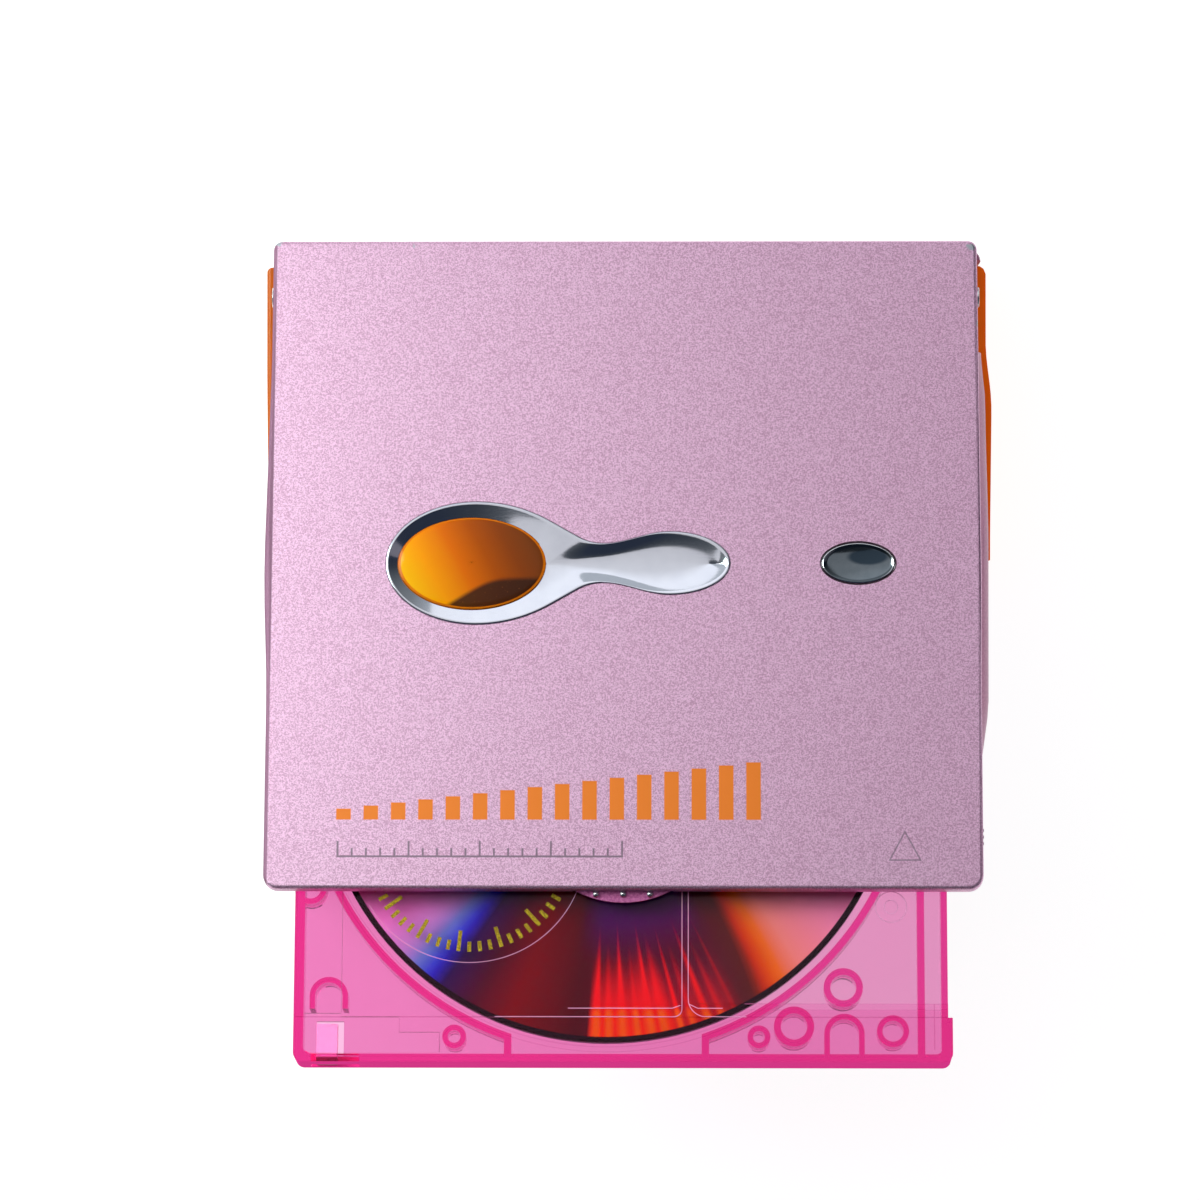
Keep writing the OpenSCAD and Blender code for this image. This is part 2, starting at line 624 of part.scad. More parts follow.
// Steel plate that carries the motors, with upright lugs for the guide rods
module mech_chassis() {
    x0 = chassis_x0;
    x1 = rod_x1 + rod_end;
    y0 = lead_y - 3.4;
    y1 = disc_y + 11.9;
    lug_h = rod_z + rod_r + 0.7 - chassis_z;
    color("#b9bcc2") difference() {
        union() {
            soft_block([x0, y0, chassis_z], [x1, y1, chassis_top], 1.2);
            for (x = [rod_x0 - rod_end, rod_x1], y = [disc_y - rod_off, disc_y + rod_off])
                block([x, y - 1.9, chassis_z], [x + rod_end, y + 1.9, chassis_z + lug_h]);
            block([rod_x1, lead_y - 1.9, chassis_z], [x1, lead_y + 1.9, chassis_z + lug_h]);
        }
        soft_block([disc_x + 9.5, disc_y - rod_off + 2.4, 0],
            [rod_x1 - 2.5, disc_y + rod_off - 2.4, 20], 1.5);
        for (x = damper_x, y = damper_y) translate([x, y, 0]) cylinder(r = 1.3, h = 20);
        for (y = [disc_y - rod_off, disc_y + rod_off]) translate([0, y, rod_z]) bar_x(rod_r, 0, 60);
        translate([0, lead_y, rod_z]) bar_x(0.5 + run_gap, rod_x1 - 2, 60);
    }
}
damper_x = [disc_x - 11, rod_x1 - 3.6];
damper_y = [lead_y - 1.2, disc_y + 9.7];

// Rubber grommets that hang the chassis on the floor
module chassis_dampers() {
    color("#3a3a3d") for (i = [0, 1], y = damper_y) translate([damper_x[i], y, floor_t]) {
        cylinder(r = 1.9, h = chassis_z - floor_t);
        cylinder(r = 1.3 - seat_gap, h = chassis_top - floor_t + 0.3);
    }
}

// Flat motor that spins the turntable
module spindle_motor() {
    color("#9aa0a8") translate([disc_x, disc_y, chassis_top]) difference() {
        union() {
            cylinder(r = motor_r, h = 2.6, $fn = 72);
            cylinder(r = motor_r - 1.4, h = 3.6, $fn = 72);
        }
        translate([0, 0, -1]) cylinder(r = 0.6 + run_gap, h = 10);
    }
}

// Turntable on the motor's shaft, with the cone that centres the disc's hub
module turntable() {
    top = cart_z - 0.35;
    color("#e3e4e6") translate([disc_x, disc_y, 0]) rotate_extrude($fn = 72) polygon([
        [0, chassis_top + 0.2], [0.6, chassis_top + 0.2], [0.6, deck_z - 0.5], [table_r, deck_z - 0.5],
        [table_r, top - 0.5], [3, top - 0.5], [2.1, top], [0, top]]);
}

// The two polished rods that the pickup sled runs on
module guide_rods() {
    color("#d5d8dc") for (s = [-1, 1]) translate([0, disc_y + s * rod_off, rod_z])
        bar_x(rod_r, rod_x0 - rod_end, rod_x1 + rod_end);
}

// Small motor that turns the lead screw
module sled_motor() {
    color("#b4b7bd") translate([0, lead_y, rod_z]) difference() {
        union() {
            bar_x(2, disc_x - 12, disc_x - 1.5);
            block([disc_x - 9, -1.6, chassis_top - rod_z], [disc_x - 3, 1.6, 0]);
        }
        bar_x(0.5 + run_gap, disc_x - 3.5, disc_x);
    }
}

// Lead screw: a thin shaft with a ring for each turn of its thread
module lead_screw() {
    x0 = disc_x - 0.8;
    x1 = rod_x1 - 0.6;
    turns = floor((x1 - x0) / lead_pitch);
    color("#cfd2d6") translate([0, lead_y, rod_z]) union() {
        bar_x(0.5, disc_x - 3, rod_x1 + rod_end - 0.1);
        bar_x(lead_r - 0.25, x0, x1);
        for (i = [0:turns - 1]) bar_x(lead_r, x0 + i * lead_pitch + 0.2, x0 + (i + 0.5) * lead_pitch + 0.2);
    }
}

// Sled that carries the pickup along the rods
module pickup_sled() {
    x = disc_x + lens_rest;
    half = rod_off + 1.5;
    color("#5c6068") difference() {
        union() {
            soft_block([x - sled_in, disc_y - half, chassis_top + 0.6],
                [x + sled_out, disc_y + half, sled_top], 1);
            block([x - 3, lead_y + lead_r + 0.12, rod_z - 0.9], [x + 3, disc_y - half + 0.5, rod_z + 0.9]);
        }
        for (s = [-1, 1]) translate([0, disc_y + s * rod_off, rod_z]) bar_x(rod_r + run_gap, 0, 60);
        translate([x, disc_y, sled_top - 1.2]) cylinder(r = lens_r + 1, h = 5);
    }
}

// Objective lens in its round mount
module objective_lens() {
    color("#7fa7d8") translate([disc_x + lens_rest, disc_y, sled_top - 1.2]) rotate_extrude($fn = 48)
        polygon([[0, 0], [lens_r + 0.9, 0], [lens_r + 0.9, 0.9], [lens_r, cart_z - 0.7 - sled_top + 1.2],
            [lens_r * 0.8, cart_z - 0.5 - sled_top + 1.2], [0, cart_z - 0.35 - sled_top + 1.2]]);
}

// The hinge's two headed pins, through the case and the frame into the holder's ears
module hinge_pins() {
    color("#d9dadd") translate([0, hinge_y, hinge_z]) for (s = [-1, 1]) difference() {
        union() {
            scale([s, 1, 1]) bar_x(pin_r, cart_w / 2 + 0.08, case_left - 0.2);
            scale([s, 1, 1]) bar_x(1.15, case_left - 0.3, case_left + 0.35);
        }
        translate([s * (case_left + 0.35), 0, 0]) cube([0.4, 3, 0.35], center = true);
    }
}

// Two torsion springs that lift the lid. Their coils lie round the hinge pins, in pockets of the
// frame: the lower leg rests in the pocket and the upper one is hooked to the holder's ear
module lid_springs() {
    pitch = 2 * spring_wire + 0.02;
    turns = 3;
    x0 = frame_in + spring_wire + 0.05;
    x1 = x0 + pitch * (turns - 1);
    leg_y = spring_r * cos(30);
    leg_z = spring_r * sin(30);
    color("#c9ccd0") translate([0, hinge_y, hinge_z]) for (s = [-1, 1]) scale([s, 1, 1]) {
        for (i = [0:turns - 1]) translate([x0 + i * pitch, 0, 0]) rotate([0, 90, 0])
            rotate_extrude($fn = 36) translate([spring_r, 0]) circle(spring_wire, $fn = 16);
        for (leg = [[x0, 1], [x1, -1]]) translate([leg[0], -leg_y, leg[1] * leg_z]) rotate([90, 0, 0])
            cylinder(r = spring_wire * 0.9, h = spring_arm - leg_y, $fn = 16);
        translate([0, spring_wire - spring_arm, leg_z])
            bar_x(spring_wire * 0.8, holder_out + 0.15, x0, $fn = 16);
    }
}

// Screws that hold the case's floor to the frame
module case_screws() {
    color("#a7a9ad") for (x = [-post_x, post_x], y = [post_y0, post_y1])
        translate([x, y, 0.45]) rotate([180, 0, 0]) screw(head_r, screw_r, 0.4, 4.2);
}

// Slider on the right side that locks the keys
hold_y = case_y0 + 5.8;
hold_z = floor_t + 6;
hold_travel = 2;
module hold_switch() {
    outer = case_right + 0.5;
    color("#cfd0d4") union() {
        block([case_in + 0.06, hold_y - 2.2, hold_z - 1.5], [case_in + 0.44, hold_y + 1.4, hold_z + 1.5]);
        block([case_in + 0.3, hold_y - 1.2, hold_z - 0.9], [outer - 0.2, hold_y + 1.2, hold_z + 0.9]);
        for (i = [-1:1]) translate([outer - 0.25, hold_y + i * 0.75, hold_z - 0.9])
            cylinder(r = 0.28, h = 1.8, $fn = 24);
    }
}

// Slider on the left side with the hook that holds the closed lid
open_y0 = case_y0 + 3.4;
open_y1 = open_y0 + 20.6;
open_z = cart_z + 0.6;
open_travel = 2;
open_knob_y0 = open_y0 + 11.6;
open_knob_y1 = open_knob_y0 + 7.4;
module open_slider() {
    x0 = -case_in - 0.44;
    x1 = -case_in - 0.06;
    color("#b58cac") union() {
        block([x0, open_y0, open_z - 1.2], [x1, open_y1, open_z + 1.2]);
        block([x0, open_y0, open_z], [x1, open_y0 + 1, case_top - 0.4]);
        block([x0, open_y0, case_top - 1.4], [x1, open_y0 + 1.6, case_top - 0.4]);
        block([-case_left - 0.3, open_knob_y0, open_z - 0.7], [x1, open_knob_y1, open_z + 0.7]);
        for (i = [0:6]) translate([-case_left - 0.3, open_knob_y0 + 0.7 + i, open_z - 0.7])
            cylinder(r = 0.22, h = 1.4, $fn = 24);
    }
}

// Lid cover: a blasted light-metal plate with a turned-down edge, and holes for bezel and key
module lid_cover() {
    r = lid_edge_r;
    color("#d3a6c6") at_lid() difference() {
        loft(concat([[lid_outline(0.08), lid_z], [lid_outline(0), lid_z + 0.12]],
            [for (a = [0:18:90]) [lid_outline(r * (1 - cos(a))), lid_top - r + r * sin(a)]]));
        translate([0, (lid_y0 + lid_y1) / 2, lid_z - 1]) linear_extrude(key_room + 1)
            rounded(2 * (lid_half_w - lid_skirt_t), lid_y1 - lid_y0 - 2 * lid_skirt_t, 0.8);
        translate([0, 0, lid_in_z - 0.5]) linear_extrude(3) polygon(grown(bezel_outline, seat_gap));
        translate([stop_x, key_y, lid_in_z - 0.5]) oval(stop_a + 0.08, stop_b + 0.08, 3);
        block([-tab_half_w - 0.3, lid_y0 - 1, lid_z - 1], [tab_half_w + 0.3, lid_y0 + 2, lid_z + 0.45]);
    }
}

// Lid frame: ring and cross bars that join cover and holder, with the finger tab and catch tooth
module lid_frame() {
    w = lid_half_w - lid_skirt_t - 0.1;
    y0 = lid_y0 + lid_skirt_t + 0.1;
    y1 = lid_y1 - lid_skirt_t - 0.1;
    h = key_room - 2 * seat_gap;
    bay_w = w - 9.75;
    color("#9d7794") at_lid() translate([0, 0, lid_z + seat_gap]) difference() {
        union() {
            linear_extrude(h) difference() {
                translate([0, (y0 + y1) / 2]) rounded(2 * w, y1 - y0, 0.7);
                for (s = [-1, 1]) translate([s * (2.5 + bay_w / 2), 0]) {
                    translate([0, (screw_y[1] + 2.4 + y1 - 2.6) / 2])
                        rounded(bay_w, y1 - 5 - screw_y[1], 1.5);
                    translate([0, (screw_y[0] - 2.4 + y0 + 3.6) / 2])
                        rounded(bay_w, screw_y[0] - 6 - y0, 1.5);
                }
                translate([0, (screw_y[0] + screw_y[1]) / 2])
                    rounded(2 * (w - 2.6), screw_y[1] - screw_y[0] - 4.8, 1.5);
            }
            linear_extrude(0.4) intersection() {
                translate([0, lid_y0 - tab_reach + tab_arc_r]) circle(tab_arc_r, $fn = 96);
                translate([-tab_half_w, lid_y0 - tab_reach - 1]) square([2 * tab_half_w, tab_reach + 2.2]);
            }
            block([-w, open_y0 + 1.9, -1.8], [-w + 0.5, open_y0 + 2.9, 0.2]);
        }
        for (x = [-screw_x, screw_x], y = screw_y) translate([x, y, -1]) cylinder(r = screw_r, h = 5);
        for (x = [-tab_pitch, 0, tab_pitch]) translate([x, stud_y, -1]) cylinder(r = stud_r, h = 5, $fn = 24);
    }
}
tab_pitch = 2.95;
stud_y = lid_y0 - 0.35;
stud_r = 0.25;
tab_arc_r = (tab_half_w * tab_half_w + tab_reach * tab_reach) / (2 * tab_reach);

// Three steel studs in the finger tab
module tab_studs() {
    color("#e0e1e4") at_lid() for (x = [-tab_pitch, 0, tab_pitch])
        translate([x, stud_y, lid_z + seat_gap]) {
            translate([0, 0, 0.05]) cylinder(r = stud_r, h = 0.4, $fn = 24);
            translate([0, 0, 0.4]) intersection() {
                sphere(r = 0.42, $fn = 24);
                translate([-1, -1, 0]) cube(2);
            }
        }
}

// Cartridge holder: sheet steel folded round the cartridge, with windows in its top, a rear stop
// and the two ears that the hinge pins pass through
module cartridge_holder() {
    y0 = cart_y0 + 3.4;
    y1 = cart_y1 + 0.4;
    lip_y1 = hinge_y - 2.2;
    mid_z = (holder_z0 + holder_z1) / 2;
    slot_w = cart_w / 2 - 12;
    slit_x = cart_w / 2 - 2.8;
    color("#c3c6cb") at_lid() difference() {
        union() {
            difference() {
                translate([0, y1, mid_z]) rotate([90, 0, 0]) linear_extrude(y1 - y0) difference() {
                    rounded(2 * holder_out, holder_z1 - holder_z0, 0.5);
                    rounded(2 * holder_in, holder_z1 - holder_z0 - 2 * holder_t, 0.25);
                    translate([0, -cart_h / 2])
                        square([2 * (holder_in - holder_lip), cart_h], center = true);
                }
                block([-60, lip_y1, holder_z0 - 1], [60, 60, cart_z - cart_top_gap + 0.02]);
            }
            for (s = [-1, 1]) let (x = s * cart_w / 4)
                block([x - 6, y1 - 0.02, cart_z + 1.8], [x + 6, y1 + holder_t, holder_z1]);
        }
        translate([0, hinge_y, hinge_z]) bar_x(pin_r + run_gap, -60, 60);
        block([-60, hinge_y - 1.9, holder_z0 - 1], [60, 60, hinge_z - 1.7]);
        for (s = [-1, 1], y = [-22, -10, 10, 22])
            translate([s * (slot_w / 2 + 4), cart_mid_y + y, cart_z + cart_h])
                linear_extrude(2) rounded(slot_w, 8.4, 2);
        translate([0, cart_mid_y, cart_z + cart_h]) linear_extrude(2) rounded(2 * slot_w + 8, 8.4, 2);
        for (x = [-screw_x, screw_x], y = screw_y) translate([x, y, cart_z]) cylinder(r = 1.15, h = 20);
        for (s = [-1, 1]) block([s * slit_x - 0.25, y0 + 6, cart_z + cart_h],
            [s * slit_x + 0.25, y0 + 22, lid_top]);
    }
}

// Screws between the holder and the lid frame
module lid_screws() {
    color("#b9bbbf") at_lid() for (x = [-screw_x, screw_x], y = screw_y)
        translate([x, y, holder_z1 - 0.02]) rotate([180, 0, 0])
            screw(1.05, screw_r, holder_t - 0.05, key_room - 0.35);
}

// An oval dish to cut away: half axes a and b at z = 0, and its depth in the middle
module dish(a, b, deep) {
    scale([a, b, 1]) rotate_extrude($fn = 96)
        polygon(concat([[0, 1], [1, 1]], [for (t = [1:-0.25:0]) [t, deep * (t * t - 1)]]));
}

// Chrome bezel let into the lid: a dished spoon shape round the play key, with a tail
module chrome_bezel() {
    lip_t = 0.3;
    color("#e6e8ec") at_lid() difference() {
        union() {
            translate([0, 0, lid_in_z - seat_gap]) linear_extrude(lid_t + seat_gap)
                polygon(bezel_outline);
            translate([0, 0, lid_in_z - seat_gap - lip_t]) linear_extrude(lip_t)
                polygon(grown(bezel_outline, 0.7));
        }
        translate([lobe_x, key_y, lid_top]) dish(lobe_a + 1.5, lobe_b - 0.5, 0.35);
        translate([tail_x, key_y, lid_top]) dish(tail_a - 0.5, tail_b - 0.5, 0.4);
        translate([play_x, key_y, lid_in_z - 1]) oval(play_a + 0.06, play_b + 0.06, 4);
        translate([play_x, key_y, lid_in_z - 1])
            oval(play_a + key_rim + 0.15, play_b + key_rim + 0.15, 1 - seat_gap);
    }
}

// A key: an oval cap with a rim that keeps it in, and a low dome or dish on top
module key_cap(a, b, crown) {
    z0 = lid_in_z - key_rise;
    translate([0, 0, z0]) oval(a + key_rim, b + key_rim, key_rise - 0.1);
    scale([a, b, 1]) rotate_extrude($fn = 96) polygon(concat([[0, z0], [1, z0]],
        [for (t = [0:15:90]) [cos(t) * 0.1 + 0.9, lid_top - 0.1 + 0.05 * sin(t)]],
        [for (t = [0.75:-0.25:0]) [t, lid_top - 0.05 + crown * (1 - t * t)]]));
}

// Translucent play key in the bezel's large lobe
module play_key() {
    color("#ff8a00") at_lid() translate([play_x, key_y, 0]) key_cap(play_a, play_b, 0.22);
}

// Oval chrome stop key with a dished face
module stop_key() {
    color("#9aa3b0") at_lid() translate([stop_x, key_y, 0]) key_cap(stop_a, stop_b, -0.2);
}

// Thin board under the keys
module key_board() {
    mid = (play_x + stop_x) / 2;
    color("#1d5f8a") at_lid() translate([0, key_y, lid_z + seat_gap]) difference() {
        soft_block([play_x - play_a - 3.46, -7.3, 0], [stop_x + stop_a + 1, 6.9, key_board_t], 2);
        for (x = [mid - 8.5, mid + 8.5], y = [-4.7, 4.3]) translate([x, y, -1]) cylinder(r = 0.7, h = 3);
    }
}

// Snap domes under the two keys
module key_domes() {
    color("#d9cf9a") at_lid() for (x = [play_x, stop_x])
        translate([x, key_y, lid_z + seat_gap + key_board_t]) rotate_extrude($fn = 60)
            polygon([for (t = [0:0.25:1]) [1.8 * t, dome_h * (1 - t * t)], [0, 0]]);
}

// Cartridge, in its own frame: u across, v from its front edge
left_u = -cart_w / 2;
right_u = cart_w / 2;
lip_v = 4.9;
side_u = right_u - 0.5;
well_r = disc_r + disc_room;
mouth_u = 10.4;
recess_u = disc_x + 8.73;
recess_v = 6.4;
recess_back = 20;
recess_deep = 0.4;
hub_hole_r = 8.6;
window_u = disc_x + 9.8;
boss_u = 16.65;

// Rings moulded inside the cartridge: place across, place along, outer and inner radius
rings = [[right_u - 11.9, 8.3, 2.15, 1.42], [right_u - 17.3, 4, 2.2, 1.45],
    [right_u - 6.5, 3.5, 1.75, 1.15], [disc_x + boss_u, 2.85, 1.25, 0.65],
    [disc_x - boss_u, 2.85, 1.3, 0.7], [left_u + 1.6, 19.3, 1.8, 1.2]];
// Faint round mark that the mould leaves on the roof: place across and along
mark = [right_u - 6.6, 17.3];
// Arches moulded inside it: place across and along, outer and inner radius, foot of the legs
arches = [[right_u - 11.8, 3.2, 2.2, 1.6, 0.9], [left_u + 3.8, 7.3, 2.1, 1.5, 5.9]];
shutter_t = 0.28;
shutter_v0 = disc_v - 10;
shutter_w = 20;
half_h = cart_h / 2;

// Outline of the cartridge, with the channel for the shutter along its right side
module cartridge_outline() {
    difference() {
        translate([0, cart_d / 2]) rounded(cart_w, cart_d, 1);
        translate([side_u, lip_v]) square([2, cart_d - lip_v - 5]);
    }
}

// A ring seen from above
module hoop(c, r1, r0) {
    translate(c) difference() {
        circle(r1);
        circle(r0);
    }
}

// An arch seen from above: half a hoop at c with two legs down to v
module arch(c, r1, r0, v) {
    translate(c) difference() {
        union() {
            circle(r1);
            translate([-r1, v - c[1]]) square([2 * r1, c[1] - v]);
        }
        circle(r0);
        translate([-r0, v - c[1] - 1]) square([2 * r0, c[1] - v + 1]);
        translate([-r1 - 1, v - c[1] - 5]) square([2 * r1 + 2, 5]);
    }
}

// Walls and ribs of both halves: rim, disc well, shutter channel, pillars and arches
module cartridge_ribs() {
    mouth = sqrt(well_r * well_r - mouth_u * mouth_u);
    intersection() {
        cartridge_outline();
        union() {
            difference() {
                square([2 * cart_w, 2 * cart_d], center = true);
                translate([0, cart_d / 2])
                    rounded(cart_w - 2 * cart_wall - 0.1, cart_d - 2 * cart_wall + 0.1, 0.8);
            }
            translate([side_u - 0.7, 0]) square([2, cart_d]);
            translate([right_u - 3.4 - cart_rib / 2, 0]) square([cart_rib, cart_d]);
            difference() {
                hoop([disc_x, disc_v], well_r + cart_rib, well_r);
                translate([disc_x - mouth_u, 0]) square([2 * mouth_u, disc_v - mouth + 0.6]);
            }
            for (s = [-1, 1]) translate([disc_x + s * (mouth_u + cart_rib / 2) - cart_rib / 2, 0])
                square([cart_rib, disc_v - mouth]);
            for (r = rings) hoop([r[0], r[1]], r[2], r[3]);
            for (a = arches) arch([a[0], a[1]], a[2], a[3], a[4]);
        }
    }
}

// Shallow recess that the shutter slides in, on one face
module shutter_recess() {
    translate([recess_u, recess_v]) square([cart_w, cart_d - recess_v - recess_back]);
}

// Openings of the front left corner: the sensing hole and the slot of the write-protect tab
module tab_openings() {
    block([left_u + 2.3, cart_wall + 0.05, -1], [left_u + 5.3, hole_v, cart_h - cart_skin]);
    block([left_u + 1.8, -1, tab_z - 0.1], [left_u + 7.1, cart_wall + 0.1, tab_z + tab_h + 0.1]);
}
hole_v = 5;
tab_z = cart_skin + 0.1;
tab_h = 1.4;

// Lower half of the cartridge: floor with the hub hole and pickup window, walls and ribs
module cartridge_bottom() {
    color("#f070b8") at_cartridge() difference() {
        union() {
            linear_extrude(cart_skin) cartridge_outline();
            linear_extrude(half_h - 0.01) cartridge_ribs();
        }
        translate([0, 0, -1]) linear_extrude(1 + recess_deep) shutter_recess();
        translate([disc_x, disc_v, -1]) cylinder(r = hub_hole_r, h = 9, $fn = 72);
        soft_block([window_u, disc_v - 5.4, -1], [right_u - 3, disc_v + 5.4, 9], 1);
        tab_openings();
        block([left_u + 1.7, cart_wall, tab_z - 0.05], [left_u + 7.2, hole_v + 0.1, 9]);
        for (u = [left_u + 8, right_u - 8]) translate([u, cart_d - 7, -1]) cylinder(r = 1.6, h = 1.6);
    }
}

// Upper half of the cartridge: roof with the label steps, walls and ribs
module cartridge_top() {
    color("#f070b8") at_cartridge() difference() {
        union() {
            translate([0, 0, cart_h - cart_skin]) linear_extrude(cart_skin) cartridge_outline();
            translate([0, 0, half_h + 0.01]) linear_extrude(half_h - 0.02) cartridge_ribs();
        }
        translate([0, 0, cart_h - recess_deep]) linear_extrude(2) shutter_recess();
        translate([0, 0, cart_h - 0.12]) linear_extrude(2)
            translate([left_u, 0])
                polygon([[1, 5.3], [5.1, 5.3], [5.1, lip_v - 0.06], [11.5, lip_v - 0.06], [11.5, 3.2],
                    [15.8, 3.2], [15.8, 0.95], [1, 0.95]]);
        translate([0, 0, cart_h - 0.1]) linear_extrude(2) {
            translate([-cart_w, lip_v - 0.06]) square([2 * cart_w, 0.12]);
            translate([left_u + 5.14, lip_v]) square([0.12, cart_d - lip_v - 4]);
            translate([right_u - 1.96, lip_v]) square([0.12, cart_d - lip_v - 4]);
            translate([recess_u - 0.6, lip_v]) square([0.12, cart_d - lip_v - recess_back]);
            for (r = [1.75, 0.8]) hoop(mark, r, r - 0.12);
        }
        soft_block([window_u + 6, disc_v - 5, cart_h - cart_skin - 0.1],
            [right_u - 4.4, disc_v + 5, 9], 1);
        tab_openings();
        block([left_u + 1.7, cart_wall, -1], [left_u + 7.2, hole_v + 0.1, tab_z + tab_h + 0.05]);
    }
}

// Sliding shutter: one bent sheet over both faces and the right edge
module cartridge_shutter() {
    play = (recess_deep - shutter_t) / 2;
    outer_u = side_u + 0.4;
    color("#c9ccd2") at_cartridge() translate([0, shutter_v0, 0]) difference() {
        soft_block([recess_u + 0.3, 0, play], [outer_u, shutter_w, cart_h - play], 0.2);
        block([0, -1, play + shutter_t], [outer_u - shutter_t, shutter_w + 1, cart_h - play - shutter_t]);
    }
}

// Little slider in the front left corner
module write_protect_tab() {
    color("#b5652a") at_cartridge()
        block([left_u + 2.4, 0.15, tab_z], [left_u + 4.7, hole_v - 0.5, tab_z + tab_h]);
}

// Polycarbonate disc
module disc() {
    color("#8a3f86") at_cartridge() translate([disc_x, disc_v, (cart_h - disc_t) / 2]) difference() {
        rotate_extrude($fn = 120) polygon([[5.5, 0], [disc_r - 0.15, 0], [disc_r, 0.15],
            [disc_r, disc_t - 0.15], [disc_r - 0.15, disc_t], [5.5, disc_t]]);
    }
}

// Steel hub plate in the middle of the disc
module disc_hub() {
    color("#cfd2d8") at_cartridge() translate([disc_x, disc_v, (cart_h - disc_t) / 2])
        rotate_extrude($fn = 72) polygon([[1.3, -0.45], [8, -0.45], [8, 0], [5.48, 0],
            [5.48, disc_t - 0.2], [1.3, disc_t - 0.2]]);
}

base_shell();
mid_frame();
side_rail_left();
battery_door();
battery();
battery_contacts();
main_board();
board_parts();
headphone_jack();
mech_chassis();
chassis_dampers();
spindle_motor();
turntable();
guide_rods();
sled_motor();
lead_screw();
pickup_sled();
objective_lens();
hinge_pins();
lid_springs();
case_screws();
hold_switch();
open_slider();
lid_cover();
lid_frame();
cartridge_holder();
chrome_bezel();
play_key();
stop_key();
key_board();
key_domes();
lid_screws();
tab_studs();
cartridge_top();
cartridge_bottom();
cartridge_shutter();
write_protect_tab();
disc();
disc_hub();
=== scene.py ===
# %% [markdown]
# # A portable disc player with its lid ajar and a cartridge partly drawn out
# The solids come from the CAD frame: every screw, spring and rib is already in its place. This lesson
# gives them their looks. It first sets the camera and the light of a small photo studio, then makes
# one helper for shader maths, then dresses the lid, the keys, the case, the cartridge and the inside.

# %% Load the frame
import json
import math

import bmesh
import bpy
import numpy as np
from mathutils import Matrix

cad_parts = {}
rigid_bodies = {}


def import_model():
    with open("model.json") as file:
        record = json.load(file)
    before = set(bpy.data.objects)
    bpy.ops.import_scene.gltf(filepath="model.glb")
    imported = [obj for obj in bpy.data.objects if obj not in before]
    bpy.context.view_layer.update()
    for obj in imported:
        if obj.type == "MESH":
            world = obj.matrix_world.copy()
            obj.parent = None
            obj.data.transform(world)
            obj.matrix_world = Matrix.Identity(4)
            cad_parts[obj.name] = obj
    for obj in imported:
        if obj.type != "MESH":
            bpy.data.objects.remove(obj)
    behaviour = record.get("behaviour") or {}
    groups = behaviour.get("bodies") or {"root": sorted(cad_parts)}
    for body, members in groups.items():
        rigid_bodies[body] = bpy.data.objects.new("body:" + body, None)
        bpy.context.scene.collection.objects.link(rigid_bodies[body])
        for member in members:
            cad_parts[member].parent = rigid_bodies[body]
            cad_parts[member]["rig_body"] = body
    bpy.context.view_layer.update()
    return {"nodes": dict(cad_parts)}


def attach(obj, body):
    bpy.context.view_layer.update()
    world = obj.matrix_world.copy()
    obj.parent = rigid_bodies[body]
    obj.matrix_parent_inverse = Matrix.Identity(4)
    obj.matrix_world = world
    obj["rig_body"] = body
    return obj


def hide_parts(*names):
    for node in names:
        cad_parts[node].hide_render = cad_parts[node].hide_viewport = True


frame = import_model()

NODES = frame["nodes"]

# %% [markdown]
# ## The closed lid's own frame
# Most looks of the lid and the cartridge are easy to place while the lid is closed and level. In the
# pose at rest both are turned by the lid's opening angle about the hinge line. One function turns
# points by an angle about that line. With the opening angle it gives the pose at rest, and with its
# opposite the level frame again, as a Mapping node does in the shaders.

# %% Places that the looks are measured from, in millimetres
MM = 0.001
OPEN = math.radians(12)
HINGE_Y, HINGE_Z = 31.8, 11.5
LID_TOP = 17.0


def turned(points, angle=OPEN):
    """Points turned by an angle a about the hinge line at Y, Z: with dy and dz counted from it,
    y becomes Y + dy cos a + dz sin a and z becomes Z - dy sin a + dz cos a."""
    p = np.array(points, float)
    dy, dz = p[:, 1] - HINGE_Y, p[:, 2] - HINGE_Z
    c, s = math.cos(angle), math.sin(angle)
    return np.stack([p[:, 0], HINGE_Y + dy * c + dz * s, HINGE_Z - dy * s + dz * c], axis=1)


print("front edge of the lid at rest:", turned([[0, -36.9, LID_TOP]]).round(2))

# %% [markdown]
# ## Camera
# The photograph looks almost straight down from about 65 cm with a long lens, so the sides hardly
# show. The place and turn were fitted to the lid's and the cartridge's corners.

# %% The camera at the photograph's viewing angle
camera = bpy.data.objects.new("camera", bpy.data.cameras.new("camera"))
bpy.context.scene.collection.objects.link(camera)
camera.location = (0.0084993, -0.0115037, 0.6465016)
camera.rotation_euler = (0.0143722, 0.0178877, 0.0003256)
camera.data.sensor_width = 36
camera.data.lens = 168.743
camera.data.clip_start, camera.data.clip_end = 0.01, 20
bpy.context.scene.camera = camera
bpy.context.scene.view_settings.view_transform = "Standard"
print("camera height in mm:", round(camera.location.z / MM, 1))

# %% [markdown]
# ## One wrapper for shader sockets
# Node graphs are easier to read as formulas. The class below holds one output socket. The usual signs
# add Math nodes, and `make` adds any other node. Numbers alone are worked out by Python.


